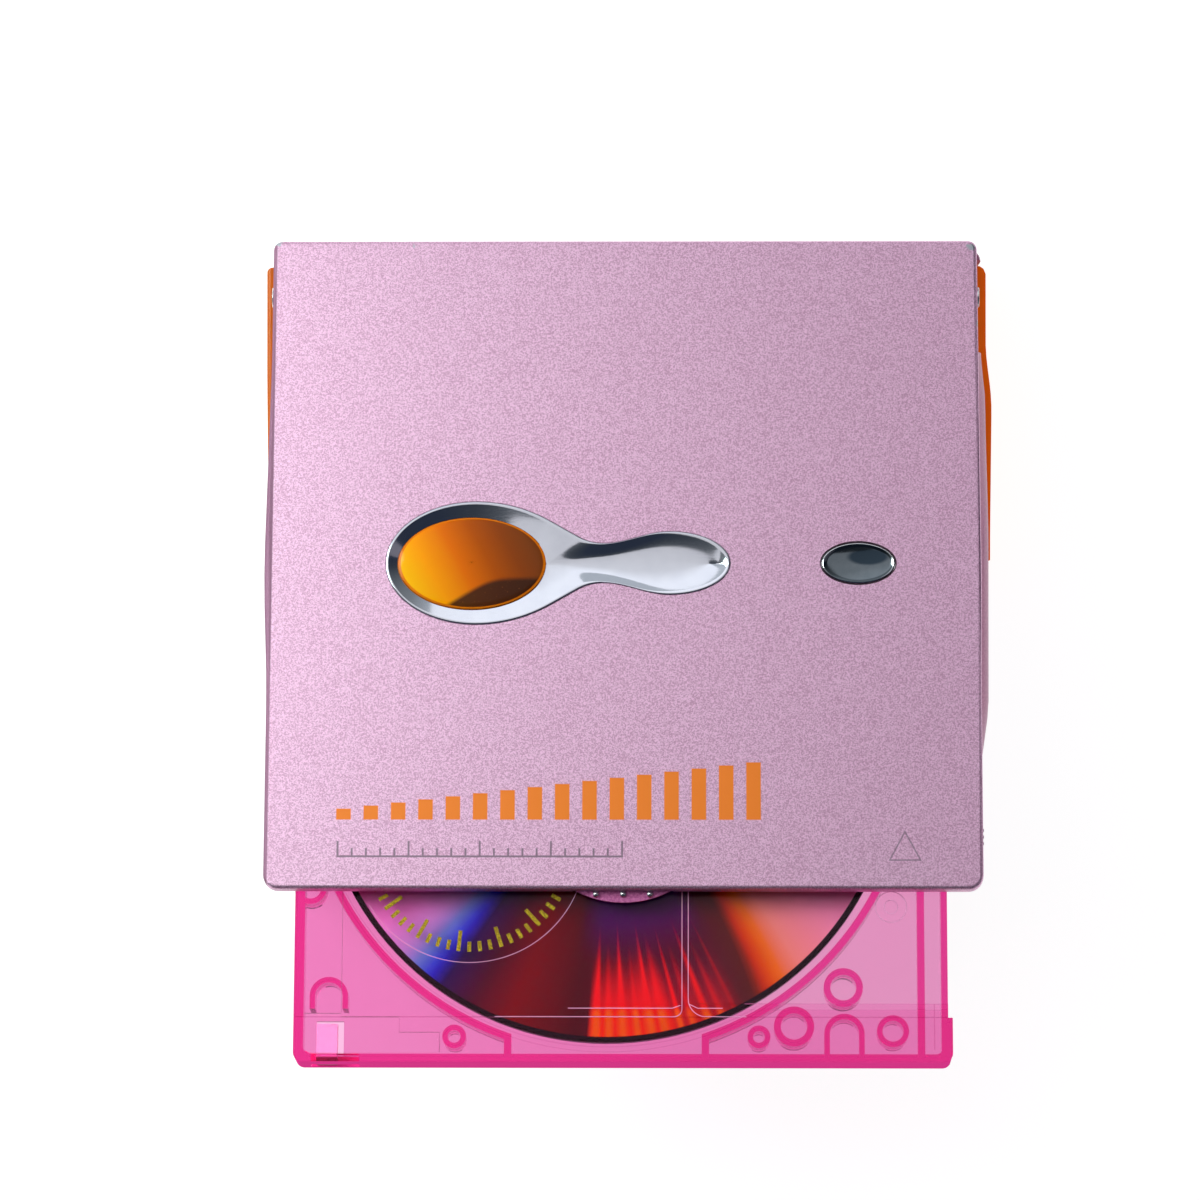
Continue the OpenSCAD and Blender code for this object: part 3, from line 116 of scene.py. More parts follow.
# %% The wrapper
class Wire:
    """One output of a shader node. Signs between wires and numbers add Math nodes."""

    def __init__(self, tree, out):
        self.tree, self.out = tree, out

    def make(self, kind, sockets, out=0, stops=None, **settings):
        """Adds a node of this kind. Its settings and a ramp's stops are set first, then its sockets
        get values or wires. Gives the node's output as a new wire."""
        node = self.tree.nodes.new(kind)
        for key, value in settings.items():
            setattr(node, key, value)
        if stops:
            ramp = node.color_ramp.elements
            while len(ramp) < len(stops):
                ramp.new(0.5)
            for element, (place, colour) in zip(ramp, stops):
                element.position = place
                element.color = (*colour[:3], 1)
        for key, value in sockets.items():
            if isinstance(value, Wire):
                self.tree.links.new(value.out, node.inputs[key])
            else:
                node.inputs[key].default_value = value
        return Wire(self.tree, node.outputs[out])

    def math(self, operation, first, second=0.0):
        """A Math node on two values."""
        return self.make("ShaderNodeMath", {0: first, 1: second}, operation=operation)

    def __add__(self, other): return self.math("ADD", self, other)
    def __radd__(self, other): return self.math("ADD", other, self)
    def __sub__(self, other): return self.math("SUBTRACT", self, other)
    def __rsub__(self, other): return self.math("SUBTRACT", other, self)
    def __mul__(self, other): return self.math("MULTIPLY", self, other)
    def __rmul__(self, other): return self.math("MULTIPLY", other, self)
    def __truediv__(self, other): return self.math("DIVIDE", self, other)
    def __pow__(self, other): return self.math("POWER", self, other)
    def __neg__(self): return self.math("MULTIPLY", self, -1.0)
    def __abs__(self): return self.math("ABSOLUTE", self)
    def __lt__(self, other): return self.math("LESS_THAN", self, other)

    def least(self, other): return self.math("MINIMUM", self, other)
    def most(self, other): return self.math("MAXIMUM", self, other)

    def step(self, low, high):
        """A smooth step: 0 up to low, 1 from high on."""
        return self.make("ShaderNodeMapRange", {0: self, 1: low, 2: high, 3: 0.0, 4: 1.0},
                         interpolation_type="SMOOTHSTEP")

    def parts(self):
        """The x, y and z of a vector wire."""
        first = self.make("ShaderNodeSeparateXYZ", {0: self})
        return tuple(Wire(self.tree, o) for o in first.out.node.outputs)

    def noise(self, scale, detail=2.0, rough=0.5):
        """Soft random values around 0.5 with features about 1/scale millimetres wide."""
        return self.make("ShaderNodeTexNoise", {"Vector": self, "Scale": scale, "Detail": detail,
                                                "Roughness": rough})

    def bump(self, height, strength, distance=0.00005):
        """A normal tilted by the slope of the height wire."""
        return self.make("ShaderNodeBump", {"Height": height, "Strength": strength,
                                            "Distance": distance})


def mix(a, b, share):
    """The colour a, changing to b as share goes from 0 to 1. At least share is a wire."""
    a, b = [(*c, 1.0) if isinstance(c, tuple) and len(c) == 3 else c for c in (a, b)]
    return share.make("ShaderNodeMix", {0: share, 6: a, 7: b}, out=2, data_type="RGBA")


def tone(red, green, blue):
    """A colour given as the 0-255 numbers of a screen, as linear light. With c from 0 to 1 that is
    ((c + 0.055) / 1.055) ^ 2.4, and for the darkest tones c / 12.92."""
    return tuple(((c / 255 + 0.055) / 1.055) ** 2.4 if c > 10 else c / 3294.6
                 for c in (red, green, blue))


# %% [markdown]
# ## Finishes
# Each finish is a function of a position in millimetres, which returns the values of the Principled
# shader's sockets. The position is the object's own, or that of the closed lid.


# %% Building a material
def finish(name, recipe, where="object", density=None, shade=None):
    """A material whose Principled shader gets what recipe(position) returns, in the object's own
    millimetres or in those of the level lid. Density, a colour and a number, fills the solid with
    an absorbing volume. Shade lets lamps shine through, tinted."""
    material = bpy.data.materials.new(name)
    material.use_nodes = True
    tree = material.node_tree
    shader = tree.nodes["Principled BSDF"]
    output = tree.nodes["Material Output"]
    start = Wire(tree, tree.nodes.new("ShaderNodeTexCoord").outputs["Object"])
    place = start.make("ShaderNodeVectorMath", {0: start, 3: 1 / MM}, operation="SCALE")
    if where == "lid":
        shift = turned([[0, 0, 0]], -OPEN)[0].tolist()
        place = start.make("ShaderNodeMapping", {"Vector": place, "Location": shift,
                                                 "Rotation": (OPEN, 0, 0)})
    for key, value in recipe(place).items():
        socket = shader.inputs[key]
        if isinstance(value, Wire):
            tree.links.new(value.out, socket)
        elif isinstance(value, tuple) and len(value) == 3:
            socket.default_value = (*value, 1)
        else:
            socket.default_value = value
    surface = Wire(tree, shader.outputs[0])
    if shade:
        lamp = start.make("ShaderNodeLightPath", {}, out="Is Shadow Ray")
        clear = start.make("ShaderNodeBsdfTransparent", {"Color": (*shade, 1)})
        surface = start.make("ShaderNodeMixShader", {0: lamp, 1: surface, 2: clear})
    tree.links.new(surface.out, output.inputs["Surface"])
    if density:
        fog = start.make("ShaderNodeVolumeAbsorption", {"Color": (*density[0], 1),
                                                        "Density": density[1]})
        tree.links.new(fog.out, output.inputs["Volume"])
    print("material", name, "with", len(tree.nodes), "nodes")
    return material


# %% [markdown]
# ## Studio
# The background of the photograph is plain white. The lid is brightest on the left and its chrome
# parts mirror a dark front and a bright back, so the room is dark in front, grey above and bright
# behind, and a large soft lamp hangs near the left. What the camera sees behind the floor stays pale.

# %% Floor, room and lamps
floor_mesh = bpy.data.meshes.new("floor")
floor_mesh.from_pydata([(-3, -3, 0), (3, -3, 0), (3, 3, 0), (-3, 3, 0)], [], [(0, 1, 2, 3)])
floor = bpy.data.objects.new("floor", floor_mesh)
bpy.context.scene.collection.objects.link(floor)


def floor_recipe(p):
    grain = p.noise(0.02)
    return {"Base Color": mix((0.30, 0.30, 0.30), (0.32, 0.32, 0.32), grain), "Roughness": 0.8,
            "Specular IOR Level": 0.1, "Emission Color": (1.0, 1.0, 1.0), "Emission Strength": 0.93}


floor_mesh.materials.append(finish("floor_paper", floor_recipe))

world = bpy.data.worlds.new("room")
bpy.context.scene.world = world
world.use_nodes = True
sky = Wire(world.node_tree, world.node_tree.nodes.new("ShaderNodeTexCoord").outputs["Generated"])
sky_x, sky_y, _ = sky.parts()
toward_back = 0.78 * sky_y - 0.62 * sky_x
room_stops = [(0.0, (0.09, 0.12, 0.19)), (0.44, (0.1, 0.13, 0.21)), (0.5, (0.16, 0.19, 0.24)),
              (0.6, (0.5, 0.53, 0.57)), (0.72, (0.9, 0.95, 1.0)), (0.8, (2.1, 2.2, 2.35)),
              (1.0, (2.1, 2.2, 2.35))]
room = sky.make("ShaderNodeValToRGB", {0: toward_back * 0.5 + 0.5}, stops=room_stops)
seen = sky.make("ShaderNodeLightPath", {}, out="Is Camera Ray")
background = world.node_tree.nodes["Background"]
world.node_tree.links.new(mix(room, (3.9, 3.9, 3.9), seen).out, background.inputs["Color"])
background.inputs["Strength"].default_value = 0.25


def lamp(name, place, target, size, power, colour):
    """A square soft lamp at a place in millimetres, turned to face the target."""
    light = bpy.data.lights.new(name, "AREA")
    light.size, light.energy, light.color = size * MM, power, colour
    holder = bpy.data.objects.new(name, light)
    bpy.context.scene.collection.objects.link(holder)
    holder.location = [v * MM for v in place]
    aim = holder.location.copy()
    for i in range(3):
        aim[i] = target[i] * MM - holder.location[i]
    holder.rotation_euler = aim.to_track_quat("-Z", "Y").to_euler()


lamp("soft_left", (-200, 90, 190), (-20, 0, 15), 150, 0.75, (0.81, 1.0, 0.89))
lamp("soft_right", (420, -40, 420), (20, 0, 15), 420, 0.1, (1.0, 0.88, 0.94))
lamp("soft_top", (-150, 420, 800), (0, 0, 0), 800, 1.17, (1.0, 0.95, 0.975))


# %% [markdown]
# ## Pieces out of CAD nodes
# A CAD node's mesh is a bag of loose triangles with hard edges. A real moulding or pressing has small
# rounded edges that catch the light. So most visible nodes are copied, their doubles merged and their
# flat facets joined, and a Bevel modifier rounds the sharp edges by a tenth of a millimetre or less.


# %% A finished copy of a node
def link(name, mesh, body, material, stands_for=()):
    """An object at the origin that rides on a body and stands for nodes."""
    obj = bpy.data.objects.new(name, mesh)
    bpy.context.scene.collection.objects.link(obj)
    mesh.materials.clear()
    mesh.materials.append(material)
    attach(obj, body)
    if stands_for:
        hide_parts(*stands_for)
    return obj


def soften(obj, edge, sharp):
    """Rounds the edges sharper than the given angle, and lets large faces rule the shading."""
    if edge:
        bevel = obj.modifiers.new("edges", "BEVEL")
        bevel.width, bevel.segments = edge * MM, 2
        bevel.limit_method, bevel.angle_limit = "ANGLE", math.radians(sharp)
        bevel.use_clamp_overlap = True
    obj.data.shade_smooth()
    obj.data.set_sharp_from_angle(angle=math.radians(sharp))
    shading = obj.modifiers.new("shading", "WEIGHTED_NORMAL")
    shading.keep_sharp = True


def copied(node, material, edge, sharp=32):
    """A copy of a CAD node with merged points, joined flat facets and softened edges."""
    mesh = NODES[node].data.copy()
    form = bmesh.new()
    form.from_mesh(mesh)
    bmesh.ops.remove_doubles(form, verts=form.verts, dist=2e-6)
    bmesh.ops.dissolve_limit(form, angle_limit=math.radians(0.5), verts=form.verts,
                             edges=form.edges)
    form.to_mesh(mesh)
    form.free()
    if "custom_normal" in mesh.attributes:
        mesh.attributes.remove(mesh.attributes["custom_normal"])
    obj = link(f"{node}_finished", mesh, NODES[node]["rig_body"], material, [node])
    soften(obj, edge, sharp)
    print(obj.name, "faces before rounding:", len(mesh.polygons))
    return obj


def coated(nodes, material):
    """CAD nodes that keep their own mesh and only get a finish."""
    for node in nodes:
        NODES[node].data.materials.clear()
        NODES[node].data.materials.append(material)
    print("coated with", material.name + ":", ", ".join(nodes))


# %% [markdown]
# ## Lid
# The cover is a light-metal plate, blasted with fine glass beads and anodised pink, so it sparkles in
# fine grains. It could be painted flat, but the grain carries the look: fine noise changes colour,
# roughness and bump together. The prints are worked out from distances: bars of a level scale in
# orange, a plain hairline scale in grey and an open triangle. Worn corners show bare metal.


# %% Masks of the lid's prints
# Where the keys lie: the y of both, then for each its middle in x and its two half axes
KEY_Y = -0.3
PLAY = (-16.84, 8.2, 5.2)
STOP = (25.95, 4.05, 2.3)


def bars_mask(x, y):
    """Sixteen upright bars, 1.6 wide and 3 apart, that rise from 1.2 to 6.4: the distance to a bar's
    edge is the larger of the sideways and the upright distance."""
    left, base, pitch, half = -31.5, -29.2, 3.0, 0.8
    along = (x - left) / pitch
    index = along.math("FLOOR", along)
    side = abs((along - index) * pitch - half) - half
    height = 1.2 + index * (5.2 / 15)
    upright = abs(y - base - height * 0.5) - height * 0.5
    ends = abs(x + 8.2) - 23.8
    return 1 - side.most(upright).most(ends).step(-0.03, 0.05)


def scale_mask(x, y):
    """A hairline 31 long with a tick every 1.56, each fifth one longer."""
    left, line, pitch = -31.3, -33.3, 1.56
    along = (x - left) / pitch
    near = along.math("ROUND", along)
    fifth = abs(near.math("MODULO", near, 5.0)).step(0.4, 0.6)
    top = 1.7 - 0.8 * fifth
    tick = (abs(along - near) * pitch - 0.1).most(abs(y - line - top * 0.5) - top * 0.5)
    hair = abs(y - line) - 0.1
    ends = abs(x - left - 15.6) - 15.7
    return 1 - tick.least(hair).most(ends).step(-0.03, 0.05)


def triangle_mask(x, y):
    """The outline of a triangle: the distance to its edge, folded once."""
    across, up = abs(x - 30.87), y + 33.76
    inside = (0.8818 * (across - 1.835) + 0.4717 * up).most(-up)
    return 1 - (abs(inside + 0.09) - 0.07).step(-0.03, 0.05)


def oval(x, y, centre, a, b):
    """Grows from 0 in an oval's middle to 1 on its edge: the root of (x / a)^2 + (y / b)^2."""
    across, along = (x - centre) / a, (y - KEY_Y) / b
    return (across * across + along * along) ** 0.5


def near_point(p, x, y, z, reach):
    """1 close to a point and 0 beyond reach, with a ragged border: noise moves the distance."""
    gap = p.make("ShaderNodeVectorMath", {0: p, 1: (x, y, z)}, out="Value", operation="DISTANCE")
    return 1 - (gap + (p.noise(2.2, 3.0) - 0.5) * 1.2).step(reach - 0.12, reach + 0.12)


# %% The lid's metal
# x, y, z and reach of each worn spot
WORN = [(-38.9, 36.5, 16.95, 0.3), (38.75, 36.1, 16.95, 0.42), (-23.6, 36.2, 17.0, 0.22),
        (39.4, 27.2, 16.5, 0.4)]


def lid_recipe(p):
    x, y, z = p.parts()
    grain, fine = p.noise(4.6, 2.0, 0.6), p.noise(7.5, 1.0, 0.5)
    sparkle = (grain - 0.5) * 1.9 + (fine - 0.5) * 2.6
    shade = mix(tone(203, 150, 183), tone(243, 198, 228), (sparkle + 0.5).step(0.0, 1.0))
    on_top = z.step(LID_TOP - 0.2, LID_TOP - 0.08)
    bars = bars_mask(x, y) * on_top
    lines = scale_mask(x, y).most(triangle_mask(x, y) * 0.8) * on_top
    shade = mix(shade, tone(252, 126, 0), bars)
    shade = mix(shade, tone(124, 100, 116), lines * 0.85)
    # Painted shade: a dark rim on the lid round the stop key's hole, where shade falls into the gap.
    shade = mix(shade, tone(46, 20, 36), (oval(x, y, STOP[0], 4.25, 2.5) < 1.0) * on_top)
    # Painted shade: the rounded left edge is painted a darker tone, as it turns away from the light
    # above; less coat and more roughness go with it.
    side, front = (-x).step(38.95, 39.1), (-y).step(36.7, 36.85) * (1 - on_top)
    shade = mix(shade, tone(150, 106, 132), side * 0.9)
    worn = near_point(p, *WORN[0])
    for spot in WORN[1:]:
        worn = worn.most(near_point(p, *spot))
    shade = mix(shade, tone(176, 180, 188), worn)
    return {"Base Color": shade, "Metallic": 0.9 - 0.9 * bars - 0.35 * front,
            "Roughness": (0.5 + 0.12 * (grain - 0.5)).most(0.3) - 0.14 * worn + 0.2 * side,
            "Coat Weight": 0.5 - 0.4 * bars - 0.5 * side * (1 - bars), "Coat Roughness": 0.42,
            "Normal": p.bump(grain + 0.6 * fine, 0.5, 0.00003)}


copied("lid_cover", finish("lid_metal", lid_recipe, "lid"), edge=0.0, sharp=30)


# %% The lid's frame with the finger tab
def tab_recipe(p):
    grain = p.noise(3.0, 3.0, 0.7)
    return {"Base Color": mix(tone(168, 78, 132), tone(212, 122, 178), grain.step(0.3, 0.7)),
            "Metallic": 0.75, "Roughness": 0.5, "Normal": p.bump(grain, 0.4, 0.00004)}


copied("lid_frame", finish("frame_mauve", tab_recipe, "lid"), edge=0.05)


# %% [markdown]
# ## Chrome
# The bezel is a dished ring round the play key that runs out into a tail, like a spoon. The dish
# decides what it mirrors, so it isn't flat: its height is a function of how far a point lies between
# the outline and an inner curve, which is the key's hole and then the middle line of the tail.


# %% The bezel's outline and its dished surface
def bezel_half():
    """Upper half of the outline, left to right: an ellipse, an arc, a hollow waist, a wave and a
    second ellipse, each given by its angle."""
    step = 2.5
    lobe, tail = (-16.4, 10.0, 7.0), (5.1, 6.7, 3.6)
    shoulder, lean, waist, hollow = 16.4, math.radians(30), 2.25, 5.4
    sx, sy = lobe[0] + shoulder * math.sin(lean), lobe[2] - shoulder * (1 - math.cos(lean))
    hy = waist + hollow * (1 - math.cos(lean))
    hx = sx + (sy - hy) / math.tan(lean)
    wx = hx + hollow * math.sin(lean)
    a = np.radians(np.arange(180, 90, -step))
    first = np.stack([lobe[0] + lobe[1] * np.cos(a), lobe[2] * np.sin(a)], 1)
    a = np.linspace(0, lean, 13)
    second = np.stack([lobe[0] + shoulder * np.sin(a), lobe[2] - shoulder * (1 - np.cos(a))], 1)
    a = np.linspace(lean, 0, 13)
    third = np.stack([wx - hollow * np.sin(a), waist + hollow * (1 - np.cos(a))], 1)
    t = np.linspace(0, 1, 13)[1:]
    wave = (1 - np.cos(np.pi * t)) / 2
    fourth = np.stack([wx + (tail[0] - wx) * t, waist + (tail[2] - waist) * wave], 1)
    a = np.radians(np.arange(90 - step, -0.001, -step))
    fifth = np.stack([tail[0] + tail[1] * np.cos(a), tail[2] * np.sin(a)], 1)
    return np.concatenate([first, second, third, fourth, fifth])


def rounds(rows, around):
    """Faces between neighbouring closed rows of points. Each joins points j and k, the next one, of
    the rows i and i + 1. Gives i, j, k and the faces."""
    i, j = np.meshgrid(np.arange(rows - 1), np.arange(around), indexing="ij")
    k = (j + 1) % around
    low, high = i * around, (i + 1) * around
    return i, j, k, np.stack([low + j, low + k, high + k, high + j], -1)


def bezel_mesh():
    """The closed surface of the bezel. Rows run from the foot over a rounded rim and down the dish: w
    goes from 0 at the rim to 1 at the inner curve. The height is crest - dish g. Round the key g is
    w, a cone, and along the tail g is 1 - (1 - w)^2, a bowl."""
    half = bezel_half()
    hole_x, hole_a, hole_b = PLAY[0], PLAY[1] + 0.06, PLAY[2] + 0.06
    tip = 9.6
    run = np.concatenate([[0], np.cumsum(np.linalg.norm(np.diff(half, axis=0), axis=1))])
    split = np.searchsorted(half[:, 0], -5.5)
    turn = np.pi * (1 - np.clip(run / run[split], 0, 1))
    past = np.interp(run, [run[split], run[-1]], [hole_x + hole_a, tip])
    inner = np.stack([hole_x + hole_a * np.cos(turn), hole_b * np.sin(turn)], 1)
    inner[split:] = np.stack([past[split:], 0 * past[split:]], 1)
    inner[0, 1] = 0
    flip = np.array([1, -1])
    outer = np.concatenate([half, (half * flip)[-2:0:-1]])
    inner = np.concatenate([inner, (inner * flip)[-2:0:-1]])
    width = np.linalg.norm(outer - inner, axis=1)[:, None]
    bowl = np.clip((inner[:, :1] - hole_x - 0.4 * hole_a) / 9.0, 0, 1)
    bowl = bowl * bowl * (3 - 2 * bowl)
    crest, foot = LID_TOP + 0.1, 16.25
    dish = 0.37 + 0.17 * bowl
    rim = [(0.0, foot), (0.0, LID_TOP - 0.03), (0.05, LID_TOP + 0.06), (0.14, crest), (0.26, crest)]
    rows = [(np.full_like(width, d) / width, np.full_like(width, z)) for d, z in rim]
    start = 0.26 / width
    for w in np.linspace(0, 1, 15)[1:]:
        sunk = (1 - bowl) * w + bowl * (1 - (1 - w) ** 2)
        rows.append((start + (1 - start) * w, crest - dish * sunk))
    top = len(rows)
    rows += [(np.full_like(width, w), np.full_like(width, foot)) for w in (1, 0)]
    points = np.concatenate([np.hstack([outer + (inner - outer) * v, z]) for v, z in rows])
    points[:, 1] += KEY_Y
    i, j, k, quads = rounds(len(rows), len(outer))
    seam = np.abs(inner[:, 1]) < 1e-9
    seam[0] = False
    folded = (i == top - 1) & seam[j] & seam[k]  # along the tail both halves meet in one line
    return points, quads[~folded]


def surface(name, points, faces, material, body, slot, stands_for=()):
    """Puts level-lid points in millimetres and faces into a mesh in the pose at rest, merges
    doubles and turns the faces outwards."""
    mesh = bpy.data.meshes.new(name)
    mesh.from_pydata((turned(points) * MM).tolist(), [], faces.tolist())
    form = bmesh.new()
    form.from_mesh(mesh)
    bmesh.ops.remove_doubles(form, verts=form.verts, dist=1e-6)
    bmesh.ops.dissolve_degenerate(form, edges=form.edges, dist=1e-7)
    bmesh.ops.recalc_face_normals(form, faces=form.faces)
    form.to_mesh(mesh)
    form.free()
    link(name, mesh, body, material, stands_for)
    mesh.shade_smooth()
    mesh.set_sharp_from_angle(angle=math.radians(40))
    print(name, "faces:", len(mesh.polygons))


def chrome_recipe(p):
    scratch = p.make("ShaderNodeMapping", {"Vector": p, "Scale": (0.35, 3.0, 1.0),
                                           "Rotation": (0, 0, 0.4)}).noise(1.6, 4.0)
    haze = p.noise(0.5, 3.0)
    return {"Base Color": mix((0.67, 0.71, 0.79), (0.78, 0.82, 0.88), haze), "Metallic": 1.0,
            "Roughness": 0.085 + 0.05 * scratch.step(0.55, 0.75),
            "Normal": p.bump(scratch, 0.05, 0.00002)}


surface("bezel_dished", *bezel_mesh(), finish("chrome", chrome_recipe, "lid"), "lid",
        "chrome_trim", ["chrome_bezel"])


# %% [markdown]
# ## Keys
# Both keys are ovals. A profile of half axes and heights is carried round the oval: the flange that
# keeps the key in, the wall, the rim and the face. The play key is a clear orange lens with a high
# crown, the stop key a dished chrome button.


# %% Carrying a profile round an oval
def oval_rings(centre, a, b, profile):
    """Rings of an oval: at each profile row (grow, share, z) the half axes are share * a + grow and
    share * b + grow. The first and the last row close in a fan of quads to one point."""
    around = 96
    t = np.linspace(0, 2 * np.pi, around, endpoint=False)
    rows = [np.stack([centre + (share * a + grow) * np.cos(t),
                      KEY_Y + (share * b + grow) * np.sin(t),
                      np.full(around, z)], 1) for grow, share, z in profile]
    return np.concatenate(rows), rounds(len(rows), around)[3].reshape(-1, 4)


def key_profile(rim, face):
    """Flange, wall, rim and face of a key as rows of grow, share and height."""
    foot, flange_top, flange = 15.95, 16.2, 0.5
    return [(0.0, 0.0, foot), (flange, 1.0, foot), (flange, 1.0, flange_top),
            (0.0, 1.0, flange_top)] + rim + face


lens_rows = key_profile([(0, 1.0, 16.78), (-0.03, 1.0, 16.9)],
                        [(-0.03, s, 16.95 + 0.5 * (1 - s * s)) for s in np.linspace(0.97, 0, 12)])
stop_rows = key_profile([(0, 1.0, 16.9), (-0.05, 1.0, 17.0), (-0.14, 1.0, 17.04),
                         (-0.24, 1.0, 17.0)],
                        [(-0.26, s, 16.98 - 0.26 * (1 - s * s)) for s in np.linspace(1.0, 0, 12)])
print("rows of the lens and of the button:", len(lens_rows), len(stop_rows))


# %% Their finishes
def lens_recipe(p):
    x, y, _ = p.parts()
    u, v = x - PLAY[0], y - KEY_Y
    # Painted light: the orange runs from bright yellow on the left to dark amber on the right, as if
    # lit from the left.
    painted_light_slope = (u + 0.55 * v + 8.5) / 17.0
    painted_light = p.make("ShaderNodeValToRGB", {0: painted_light_slope}, stops=[
        (0.0, tone(255, 182, 10)), (0.2, tone(254, 150, 2)), (0.42, tone(226, 104, 2)),
        (0.62, tone(178, 76, 4)), (0.8, tone(142, 62, 14)), (1.0, tone(120, 58, 22))])
    # Painted reflection: a dark patch lower right with a curved edge mirrors a dark thing; lighter
    # specks break it up.
    dust = p.noise(6.0, 1.0).step(0.72, 0.78)
    back = 2.2 - u
    bend = (back + (back * back + 2.5) ** 0.5) * 0.31
    painted_dark_reflection = (-1.45 - v - bend).step(-0.15, 0.55) * 0.94
    painted_light = mix(painted_light, mix((0.045, 0.014, 0.007), tone(150, 80, 40), dust), painted_dark_reflection)
    painted_light = mix(painted_light, tone(226, 112, 14), oval(x, y, *PLAY).step(0.955, 0.97))
    return {"Base Color": painted_light, "Roughness": 0.08, "Coat Weight": 0.12, "Coat Roughness": 0.03,
            "Specular IOR Level": 0.05, "Subsurface Weight": 0.1, "Subsurface Scale": 0.001}


def stop_recipe(p):
    x, y, _ = p.parts()
    haze, rim = p.noise(1.2, 3.0), oval(x, y, *STOP).step(0.93, 0.96)
    smoke = mix((0.12, 0.15, 0.17), (0.17, 0.20, 0.22), haze)
    # Painted shade: a darker patch towards the upper right of the button's face.
    clear_of_painted_shade = oval(x - 1.1, y - 0.75, STOP[0], 2.4, 0.95).step(0.75, 1.1)
    smoke = mix((0.035, 0.055, 0.075), smoke, clear_of_painted_shade)
    return {"Base Color": mix(smoke, (0.85, 0.87, 0.9), rim), "Metallic": 1.0,
            "Roughness": 0.07 + 0.03 * haze}


clear_orange = finish("clear_orange", lens_recipe, "lid")
smoked_chrome = finish("smoked_chrome", stop_recipe, "lid")
surface("play_lens", *oval_rings(*PLAY, lens_rows), clear_orange, "play", "orange_clear",
        ["play_key"])
surface("stop_button", *oval_rings(*STOP, stop_rows), smoked_chrome, "stop", "chrome_trim",
        ["stop_key"])


# %% [markdown]
# ## Case, rails and sliders
# The lower case is a pearl mauve moulding with fine flake in its lacquer. The left rail is glossy
# orange, and the battery door on the right is the same plastic left translucent, with a painted glow.


# %% Mouldings of the case
def case_recipe(p):
    flake, cloud = p.noise(4.0, 2.0, 0.6), p.noise(0.12, 2.0)
    shade = mix(tone(170, 100, 138), tone(200, 130, 166), flake.step(0.3, 0.72))
    return {"Base Color": mix(shade, tone(150, 96, 126), 0.3 * cloud), "Metallic": 0.45,
            "Roughness": 0.42, "Coat Weight": 0.15, "Coat Roughness": 0.12,
            "Specular IOR Level": 0.3, "Normal": p.bump(flake, 0.12, 0.00003)}


def rail_recipe(p):
    cloud, height = p.noise(0.25, 2.0), p.parts()[2]
    edge = (abs(height - 4.5) - 2.3).step(-1.6, 1.0)
    return {"Base Color": mix(tone(160, 62, 6), tone(198, 96, 10), edge * 0.6 + 0.3 * cloud),
            "Roughness": 0.28 + 0.08 * cloud, "Specular IOR Level": 0.2, "Subsurface Weight": 0.2,
            "Subsurface Scale": 0.001}


def door_recipe(p):
    cloud = p.noise(0.25, 2.0)
    # The emission is a painted glow: light that would come through the thin door is painted in.
    return {"Base Color": mix(tone(226, 98, 4), tone(250, 140, 16), cloud),
            "Roughness": 0.3 + 0.08 * cloud, "Specular IOR Level": 0.2, "Subsurface Weight": 0.3,
            "Subsurface Scale": 0.002, "Emission Color": tone(236, 96, 0), "Emission Strength": 0.3}


def slider_recipe(p):
    grain = p.noise(3.0, 2.0)
    return {"Base Color": mix(tone(168, 160, 168), tone(206, 200, 206), grain), "Metallic": 0.6,
            "Roughness": 0.35, "Normal": p.bump(grain, 0.1, 0.00003)}


copied("base_shell", finish("pearl_mauve", case_recipe), edge=0.06, sharp=35)
copied("side_rail_left", finish("glossy_orange", rail_recipe), edge=0.12)
copied("battery_door", finish("translucent_orange_painted_glow", door_recipe), edge=0.12)
copied("open_slider", finish("open_slider_pale", slider_recipe), edge=0.05)
lock = copied("hold_switch", finish("hold_switch_pale", slider_recipe), edge=0.05)
lock_end = max(v.co.y for v in lock.data.vertices)
spare = 0.04 * MM  # the plate ends this much short of its pocket, so that it never rubs there
for v in lock.data.vertices:
    v.co.y -= spare * (v.co.y > lock_end - 0.01 * MM)

# %% [markdown]
# ## Cartridge
# Both halves are clear pink polystyrene. The skins look pale and every rib looks hot pink, because
# light crosses more plastic there. That is what an absorbing volume inside a closed glass-like
# surface does by itself, so no rib is painted. Lamps shine through, so the floor stays bright. Only
# the front wall's outer face and the sill of its small window are different: they scatter light, as a
# lightly blasted mould makes them, and look solid pink with a faint painted glow. On the sill the
# solid pink also stands for the shade inside the window: painted shade. Their faces are found by
# direction and place and get a second material.


# %% Clear pink plastic
DISC = (-1.78, -21.26, 12.3)
CART_FACE = (14.6, 14.68)  # heights just under the cartridge's upper face


def on_disc(p):
    """Across, along and distance from the disc's middle: the root of across^2 + along^2."""
    across, along, _ = p.make("ShaderNodeVectorMath", {0: p, 1: DISC},
                              operation="SUBTRACT").parts()
    return across, along, (across * across + along * along) ** 0.5


def pink_recipe(p):
    x, y, z = p.parts()
    cloud, fine = p.noise(0.2, 2.0), p.noise(1.4, 3.0)
    on_face = z.step(*CART_FACE)
    seam = abs(y + 50.7).least(abs(x - 34.0).most(-y - 54.2)) - 0.05
    seam = (1 - seam.step(-0.02, 0.05)) * on_face
    ring = abs(abs(on_disc(p)[2] - 33.0) - 0.28) - 0.05
    ring = (1 - ring.step(-0.02, 0.05)) * on_face
    skin = mix((0.88, 0.70, 0.79), (0.88, 0.73, 0.81), cloud)
    return {"Base Color": mix(skin, (0.62, 0.22, 0.40), seam.most(ring * 0.55) * 0.7),
            "Roughness": 0.008 + 0.012 * fine.step(0.6, 0.9), "IOR": 1.24,
            "Transmission Weight": 1.0, "Normal": p.bump(fine, 0.008, 0.00002)}


